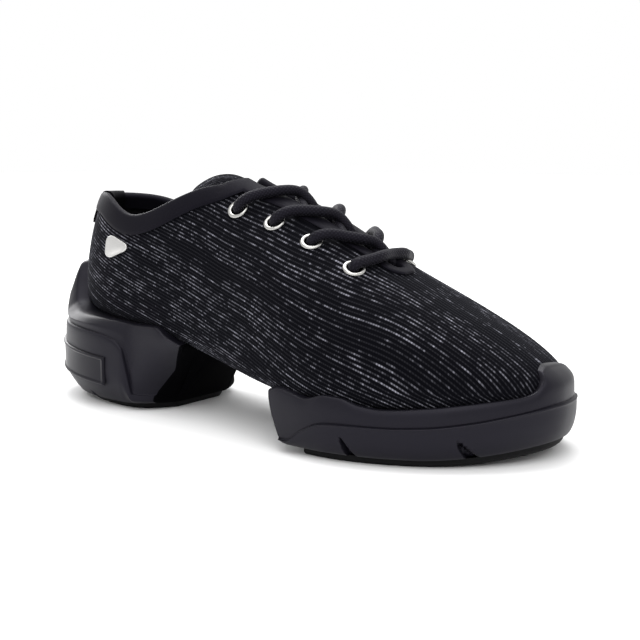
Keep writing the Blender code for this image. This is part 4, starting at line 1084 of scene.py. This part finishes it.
# the sides drawn in towards the end at the arch: width times sqrt(1 - share past^2), fading out up to the rim
def roundBreast(place, height, radius):
    past = np.clip((place[..., 0] - place[..., -1:, 0]) / radius + 1, 0, 1)
    share = 0.75 * np.clip(1.6 - height / (heel["wall"] * 0.34), 0, 1)
    place[..., 1] *= np.sqrt(1 - share * past ** 2)
    return place


def swellAt(sole, turn):  # the whole swell round the heel, gone before the arch
    return sole["swell"] * (1 - soft(stationAt(turn), 0.06, 0.26))


def evenTurns(tip, end, count):  # equal steps along the outline from the tip to the end
    along = lengthAlong(outline(-1.0, np.linspace(tip, turnOf(end), 800)))
    return np.interp(np.linspace(0, along[-1], count), along, np.linspace(0, 1, 800))


# A sole is a stack of levels from the tread to the rim, a rounded lip, and a way back down over the last
def buildSole(name, sole, tip, count, fine, node):
    levels = sole["levels"]
    knots = np.arange(len(levels["rise"]), dtype=float)
    at = np.linspace(0, knots[-1], fine)
    rise, out, end = (wave(knots, levels[key], at) for key in ("rise", "out", "end"))
    corner = int(count * soleSizes["corner"])
    edge = 0.935 + 0.05 * soft(rise, 1.0, 1.5)  # share of the length at that column, level by level
    columns = np.arange(count)
    lengths = np.stack([np.interp(columns, (0, corner, count - 1), (0, share, 1)) for share in edge])
    shares = np.interp(lengths, np.linspace(0, 1, count), evenTurns(tip, levels["end"][0], count))
    turn = tip + (turnOf(end)[:, None] - tip) * shares
    turn = np.broadcast_to(turn[:, None], (fine, 2, count))
    side = np.broadcast_to(sides[None, :, None], turn.shape)
    farther = np.where(side > 0, soleSizes["innerTurn"], 0)
    lineTurn = turn + farther * (math.pi - turn) * soft(turn, turnOf(0.90), turnOf(0.98))
    lineTurns = turnOf(sole["lines"]["station"])
    step = wave(lineTurns, sole["lines"]["step"], lineTurn) * sole["wall"]
    rim = wave(lineTurns, sole["lines"]["rim"], lineTurn) * sole["wall"]
    swellShare = np.interp(rise, (0, 0.25, 1.0, 1.5, 2), (0.4, 1, 1.05, 1.35, 0.7))
    outside = swellAt(sole, turn) * swellShare[:, None, None] + (out * mm)[:, None, None]
    place = sideOfSole(side, turn, outside)
    foot = floorUnder(stationOf(place[..., 0])) + soleSizes["tread"]
    low = np.maximum(step, foot + 2 * mm)
    q = rise[:, None, None]
    height = np.where(q < 1, foot + (low - foot) * q, low + (rim - low) * (q - 1))
    cutIn = slitDepth(sole["slits"], place[..., 0], height - foot + soleSizes["tread"])
    _, lean = atHeight(side, turn, height)
    place = sideOfSole(side, turn, outside - cutIn) + lean
    if sole["breast"]:
        place = roundBreast(place, height, sole["breast"])
    outer = np.concatenate([place, height[..., None]], -1)
    # lip: from the outer wall's top over to the last at the rim's height
    lastTurn, lastSide = turn[-1], side[-1]
    lipLift, _ = atHeight(lastSide, lastTurn, rim[-1])
    gap = soleSizes["clearance"]
    inside = lastPoint(lastSide, lastTurn, lipLift) + lastNormal(lastSide, lastTurn, lipLift) * gap
    lip = []
    for t in soleSizes["lipSteps"]:
        up = soleSizes["lip"] * math.sqrt(1 - (1 - t) ** 2) * (1 - t ** 4 * 0.4) * (1 - t)
        lip.append(outer[-1] * (1 - t) + inside * t + np.array([0, 0, up]))
    lip = np.stack(lip)
    total = fine + len(lip)
    down = np.linspace(0, 1, total + 1)[1:]
    lifts = lipLift[None] + (-math.pi / 2 - lipLift[None]) * down[:, None, None]
    normals = lastNormal(lastSide, lastTurn, lifts)
    normals[-1, 0] = normals[-1, 1] = unit(normals[-1].mean(0) * upright)
    normals[:, 0, 0] = normals[:, 1, 0] = unit(normals[:, :, 0].mean(1) * upright)
    inner = lastPoint(lastSide, lastTurn, lifts) + normals * gap
    rings = np.concatenate([outer, lip, inner])
    breast = int(sole["breast"] > 0)  # the heel's face at the arch has a look of its own: the dark foam made near black, which is painted shade
    numbers = np.zeros((len(rings) - 1, count - 1), int)
    numbers[:total, corner:] = breast
    grid = len(rings), count
    parts = [(rings[:, s], gridFaces(*grid, flip=s == 1), None, numbers.ravel()) for s in range(2)]
    parts.append(strip(rings[0, 0], rings[0, 1]))  # the underside
    middle = rings[0, :, -1].mean(0)
    shares = np.linspace(0, 1, 7)[:, None, None]
    for s in range(2):  # the face at the arch, ruled between the outer wall's end and the last
        wall = np.concatenate([middle[None], rings[:total, s, -1]])
        cup = rings[total - 1:, s, -1][::-1]
        ruled = wall[None] * (1 - shares) + cup[None] * shares
        parts.append((ruled, gridFaces(7, len(wall), flip=s == 0), None, breast))
    makePiece(name, parts, [foamLook, paintedShadeBreastLook], node, sharp=35)


buildSole("forefootSole", forefoot, math.pi, 250, 42, "forefoot_midsole")
buildSole("heelSole", heel, 0.0, 150, 52, "heel_midsole")


treads = {
    # height above the floor and place inside the sole's outline, in mm
    "levels": [
        (0.0, 1.4),
        (0.35, 0.9),
        (1.2, 0.2),
        ((soleSizes["tread"] - soleSizes["clearance"]) / mm, 0.2),
    ],
    "ribPitch": 4.2 * mm,
    "ribDepth": 0.8 * mm,
}


# A tread is a thin stack inside the sole's outline; cross ribs are cut into its underside
def buildTread(name, tip, end, count, node, breast=0):
    turn = tip + (turnOf(end) - tip) * evenTurns(tip, end, count)
    rings = []
    for height, inset in np.array(treads["levels"]) * mm:
        places = sideOfSole(sides[:, None], turn[None, :], -inset)
        if breast:
            places = roundBreast(places, np.zeros(places.shape[:2]), breast)
        z = floorUnder(stationOf(places[..., 0])) + height
        rings.append(np.concatenate([places, z[..., None]], -1))
    rings = np.stack(rings)
    parts = [(rings[:, s], gridFaces(4, count, flip=s == 1), None, 0) for s in range(2)]
    across = np.linspace(0, 1, 15)[:, None, None]
    for k, flip in ((0, False), (3, True)):
        face = rings[k, 0] * (1 - across) + rings[k, 1] * across
        if k == 0:  # ribs: a wave of the depth at each pitch, faded out near the sides
            inside = soft(1 - np.abs(2 * across[..., 0] - 1), 0.06, 0.16)
            ribs = 0.5 - 0.5 * np.cos(2 * math.pi * face[..., 0] / treads["ribPitch"])
            face[..., 2] += treads["ribDepth"] * ribs * inside
        parts.append((face, gridFaces(15, count, flip=flip), None, 0))
    rear = rings[:, 0, -1][None] * (1 - across) + rings[:, 1, -1][None] * across
    parts.append((rear, gridFaces(15, 4), None, 0))
    makePiece(name, parts, [rubberLook], node, sharp=30)


buildTread("forefootTread", math.pi, 0.672, 340, "forefoot_tread")
buildTread("heelTread", 0.0, 0.272, 190, "heel_tread", heel["breast"])
print("soles made")

plate = {
    "columns": 90,
    "rows": 50,
    "from": 0.003,  # stations
    "to": 0.178,
    "low": 13.5 * mm,
    "high": 27 * mm,
    "tilt": 0.10,  # its front end is lower
    "out": 6.2 * mm,
    "raise": 0.9 * mm,
    "frame": 1.1 * mm,
    "sink": 0.55 * mm,
}


# a plate whose thickness is the raise, less the sink inside its frame, and nothing at its border
def buildPlate():
    dense = np.linspace(turnOf(plate["from"]), turnOf(plate["to"]), 400)
    along = lengthAlong(outline(-1.0, dense))
    length = np.linspace(0, along[-1], plate["columns"])[:, None]
    tall = plate["high"] - plate["low"]
    rise = np.linspace(0, tall, plate["rows"])[None, :]
    border = np.minimum(np.minimum(length, along[-1] - length), np.minimum(rise, tall - rise))
    sunk = plate["sink"] * soft(border, plate["frame"], plate["frame"] + 0.5 * mm)
    thick = plate["raise"] * soft(border, -0.1 * mm, 0.4 * mm) - sunk
    turn = np.interp(length, along, dense) * np.ones_like(thick)
    out = plate["out"] + swellAt(heel, turn)
    z = plate["low"] + rise + plate["tilt"] * (along[-1] / 2 - length)
    face, back = (np.concatenate([sideOfSole(-1.0, turn, reach), z[..., None]], -1)
                  for reach in (out + thick, out - 0.3 * mm))
    grid = thick.shape
    parts = [(face, gridFaces(*grid), None, 0), (back, gridFaces(*grid, flip=True), None, 0)]
    makePiece("heelPlate", parts + borders(face, back), [plateLook], "heel_plate", sharp=50)


badge = {
    "points": 96,
    "norm": 1.8,  # the larger, the sharper its corners
    "station": 0.184,
    "belowEdge": 15.2 * mm,
    "length": 16.2 * mm,
    "tall": 10.4 * mm,
    "gap": 0.3 * mm,
    "thick": 0.9 * mm,
    "dome": 0.35 * mm,
    # its profile from the foot of its edge to the middle: share of the size and of the thickness
    "profile": [(1.0, 0.0), (1.0, 0.6), (0.985, 0.86), (0.95, 1.0), (0.90, 0.96), (0.87, 0.86), (0.7, 0.9),
                (0.45, 0.97), (0.2, 1.0), (0.001, 1.0)],
    "domeFrom": 0.88,
}


# A rounded triangle with one side behind: 1 / radius is the norm of how close the three sides are that way
def buildBadge():
    count, norm = badge["points"], badge["norm"]
    angle = np.arange(count) * 2 * math.pi / count
    closeness = np.clip(np.cos(angle[:, None] - np.radians([180.0, 60.0, -60.0])), 0, None)
    radius = (closeness ** norm).sum(1) ** (-1 / norm)
    shape = np.stack([radius * np.cos(angle), radius * np.sin(angle)], -1)
    low, high = shape.min(0), shape.max(0)
    shape = (shape - (high + low) / 2) / (high - low) * np.array([badge["length"], badge["tall"]])
    side, turn, lift = belowEdge(np.array(-1.0), np.array(turnOf(badge["station"])), badge["belowEdge"])
    centre = lastPoint(side, turn, lift)
    rings, uv = [], []
    for size, share in badge["profile"]:
        flat = shape * size
        ring = centre + np.stack([flat[:, 0], 0 * angle, flat[:, 1]], -1)
        where = nearest(ring, *(np.full(count, float(value)) for value in (side, turn, lift)))
        dome = badge["dome"] * (1 - size ** 2) if size < badge["domeFrom"] else 0
        rings.append(lastPoint(*where) + lastNormal(*where) * (badge["gap"] + badge["thick"] * share + dome))
        uv.append(flat / mm)
    base = rings[0].mean(0) + (rings[0] - rings[0].mean(0)) * 0.001
    rings, uv = np.stack([base, *rings]), np.stack([uv[0] * 0, *uv])
    body = rings, gridFaces(len(rings), count, False, True), uv, 0
    makePiece("pickBadge", [body], [brushedLook], "badge", sharp=50)


buildPlate()
buildBadge()
print("plate and badge made")

# a lathe: the washer's profile, a half round over the flange, is turned about the eyelet's axis
def buildEyelets():
    bore, rim = eyelets["bore"] / 2, eyelets["flange"] / 2
    arc = np.linspace(0, math.pi, 15)
    wide, centre = (rim - bore) / 2, (rim + bore) / 2
    base, lip, under = eyelets["base"], eyelets["lip"], -last["fabric"]
    top = [(centre + wide * math.cos(a), base + eyelets["bulge"] * math.sin(a) ** 0.8) for a in arc]
    line = np.array([(rim - base, 0.1 * mm), *top, (bore, under - 0.6 * mm), (bore + lip, under - 0.8 * mm),
                     (bore + lip, 0.0)])
    turns = np.arange(eyelets["facets"]) * 2 * math.pi / eyelets["facets"]
    for side, word in zip(sides, ("lateral", "medial")):
        for k, (at, out) in enumerate(eyeletPlaces(side)):
            first = unit(np.cross(out, (0.0, 1.0, 0.0)))
            second = np.cross(out, first)
            around = np.cos(turns)[:, None] * first + np.sin(turns)[:, None] * second
            rings = at + out * line[:, None, 1:2] + around * line[:, None, 0:1]
            ring = rings, gridFaces(*rings.shape[:2], True, True), None, 0
            makePiece(f"eyelet{word.title()}{k + 1}", [ring], [nickelLook], f"eyelet_{word}_{k + 1}",
                      sharp=60)


lace = {
    "diameter": 4.7 * mm,
    "ride": 2.7 * mm,  # height of its middle over the fabric
    "overTape": 3.6 * mm,
    "cross": 3.7 * mm,  # height of the near strand's middle over the gap
    "under": -0.3 * mm,  # and of the far strand's
    "rise": (-6.5 * mm, -2.5 * mm),  # heights at which it comes up through an eyelet
    "bend": 1.8 * mm,
    # shares of the pitch at which a strand is on the tape, at its edge, over the middle, tucked in, and ends
    "steps": (0.33, 0.58, 0.85, 1.10, 1.20),
    "sides": 20,
}


# a place over the fabric this far from the throat's edge, or over the gap where the distance is below 0
def overThroat(side, station, distance, height):
    turn = np.array(turnWhereSpine(station))
    side = np.array(side)
    if distance < 0:
        at, into, out = edgeFrame(side, turn)
        return at + into * distance + out * height
    where = belowEdge(side, turn, distance)
    return lastPoint(*where) + lastNormal(*where) * height


def smoothPath(points, count):  # natural cubic through the points over their chord lengths
    points = np.asarray(points)
    along = lengthAlong(points)
    at = np.linspace(0, along[-1], count)
    return np.stack([spline(along, points[:, k], at) for k in range(3)], -1)


# a round cord: circles carried along the path, each turned from the last by the smallest turn that fits
def cordRings(path, diameter):
    run = unit(np.gradient(path, axis=0))
    across = np.cross(run[0], (0.0, 0.0, 1.0))
    frames = []
    for direction in run:
        across = unit(across - direction * (across @ direction))
        frames.append(across)
    first = np.array(frames)
    second = np.cross(run, first)
    angle = np.arange(lace["sides"]) * 2 * math.pi / lace["sides"]
    around = np.cos(angle)[:, None] * first[:, None] + np.sin(angle)[:, None] * second[:, None]
    rings = path[:, None] + diameter / 2 * around
    u = lengthAlong(path) / mm
    v = angle * diameter / 2 / mm
    return rings, np.stack(np.broadcast_arrays(u[:, None], v[None, :]), -1)


cordLengths = []


def cordPart(points, count=70):
    path = smoothPath(points, count)
    cordLengths.append(round(lengthAlong(path)[-1] / mm))
    rings, uv = cordRings(path, lace["diameter"])
    caps = [path[0] + (rings[0] - path[0]) * 0.001, path[-1] + (rings[-1] - path[-1]) * 0.001]
    rings = np.concatenate([caps[0][None], rings, caps[1][None]])
    uv = np.concatenate([uv[:1], uv, uv[-1:]])
    return rings, gridFaces(len(rings), lace["sides"], False, True), uv, 0


def ridgePoint(station, height):  # over the middle line, as if the throat were closed
    return lastPoint(-1.0, turnWhereSpine(station), math.pi / 2) + np.array([0, 0, height])


# Each crossing has two strands: up out of an eyelet, over the tape, over the middle, and under the tape of
# the other side one row ahead. The bar at the front runs over both tapes.
def buildLace():
    pitch = eyelets["pitch"] / last["length"]
    over, width = lace["overTape"], tapes["width"]
    for k in range(eyelets["count"] - 1):
        station = eyelets["first"] + k * pitch
        parts = []
        for side, height in ((-1.0, lace["cross"]), (1.0, lace["under"])):
            at, out = eyeletPlaces(side)[k]
            tape, edge, middle, tuck, end = (station + share * pitch for share in lace["steps"])
            onTape = overThroat(side, tape, width * 0.9, over)
            toward = unit(onTape - at)
            parts.append(cordPart([
                *(at + out * rise for rise in lace["rise"]),
                at + out * 1.6 * mm + toward * 0.8 * mm,
                at + out * lace["ride"] + toward * 4.0 * mm,
                onTape,
                overThroat(side, edge, width * 0.15, over + 0.3 * mm),
                ridgePoint(middle, height),
                overThroat(-side, tuck, -1.2 * mm, -1.0 * mm),
                overThroat(-side, end, 5.0 * mm, -4.8 * mm),
            ]))
        makePiece(f"laceCrossing{k + 1}", parts, [braidLook], f"lace_crossing_{k + 1}")
    station = eyelets["first"] + (eyelets["count"] - 1) * pitch
    halves = []
    for side in sides:
        at, out = eyeletPlaces(side)[-1]
        halves.append([
            *(at + out * rise for rise in (*lace["rise"], lace["bend"])),
            overThroat(side, station + 0.06 * pitch, width * 1.25, lace["ride"]),
            overThroat(side, station + 0.12 * pitch, width * 0.6, over),
        ])
    bar = [*halves[0], ridgePoint(station + 0.2 * pitch, over), *halves[1][::-1]]
    makePiece("laceBar", [cordPart(bar, 110)], [braidLook], "lace_bar")


buildEyelets()
buildLace()
print("eyelets and lace made, cords", cordLengths)

studio = {
    "floor": "#f4f4f4",
    "floorHalf": 6.0,
    # name, kind, place, size or angle, power
    "lamps": [
        ("softSun", "SUN", (0.35, -0.55, 1.0), 0.9, 1.1),
        ("topBox", "AREA", (-0.25, 0.30, 1.10), 0.8, 9.0),
        ("sideBox", "AREA", (-1.00, 0.40, 0.50), 0.5, 4.5),
    ],
    "lampsAim": (-0.03, 0, 0.04),
    "eye": (0.2565, -0.3844, 0.1172),
    "aim": (-0.0377, 0.0046, 0.0452),
    "lens": 62.4,
}


def addAimed(name, data, at, aim):  # an object that looks from one point to another
    made = bpy.data.objects.new(name, data)
    made.location = at
    made.rotation_mode = "QUATERNION"
    made.rotation_quaternion = (Vector(aim) - Vector(at)).to_track_quat("-Z", "Y")
    bpy.context.scene.collection.objects.link(made)
    return made


def buildStudio():
    scene = bpy.context.scene
    mesh = bpy.data.meshes.new("floor")
    size = studio["floorHalf"]
    corners = [(-size, -size, 0), (size, -size, 0), (size, size, 0), (-size, size, 0)]
    mesh.from_pydata(corners, [], [(0, 1, 2, 3)])
    look, _, _ = newMaterial("paintedBoard", {"Base Color": hexColor(studio["floor"]), "Roughness": 0.9})
    mesh.materials.append(look)
    floor = bpy.data.objects.new("floor", mesh)
    floor.location.z = -0.02 * mm
    scene.collection.objects.link(floor)
    scene.world = scene.world or bpy.data.worlds.new("studio")
    scene.world.use_nodes = True
    tree = scene.world.node_tree
    setInputs(tree, tree.nodes["Background"], {"Color": (1, 1, 1, 1), "Strength": 1.0})
    for name, kind, at, width, power in studio["lamps"]:
        light = bpy.data.lights.new(name, kind)
        light.energy = power
        setattr(light, "angle" if kind == "SUN" else "size", width)
        addAimed(name, light, at, studio["lampsAim"])
    camera = bpy.data.cameras.new("camera")
    camera.lens = studio["lens"]
    camera.sensor_width = 36
    camera.clip_start = 0.01
    scene.camera = addAimed("camera", camera, studio["eye"], studio["aim"])
    scene.view_settings.view_transform = "Standard"


buildStudio()
print("studio made")
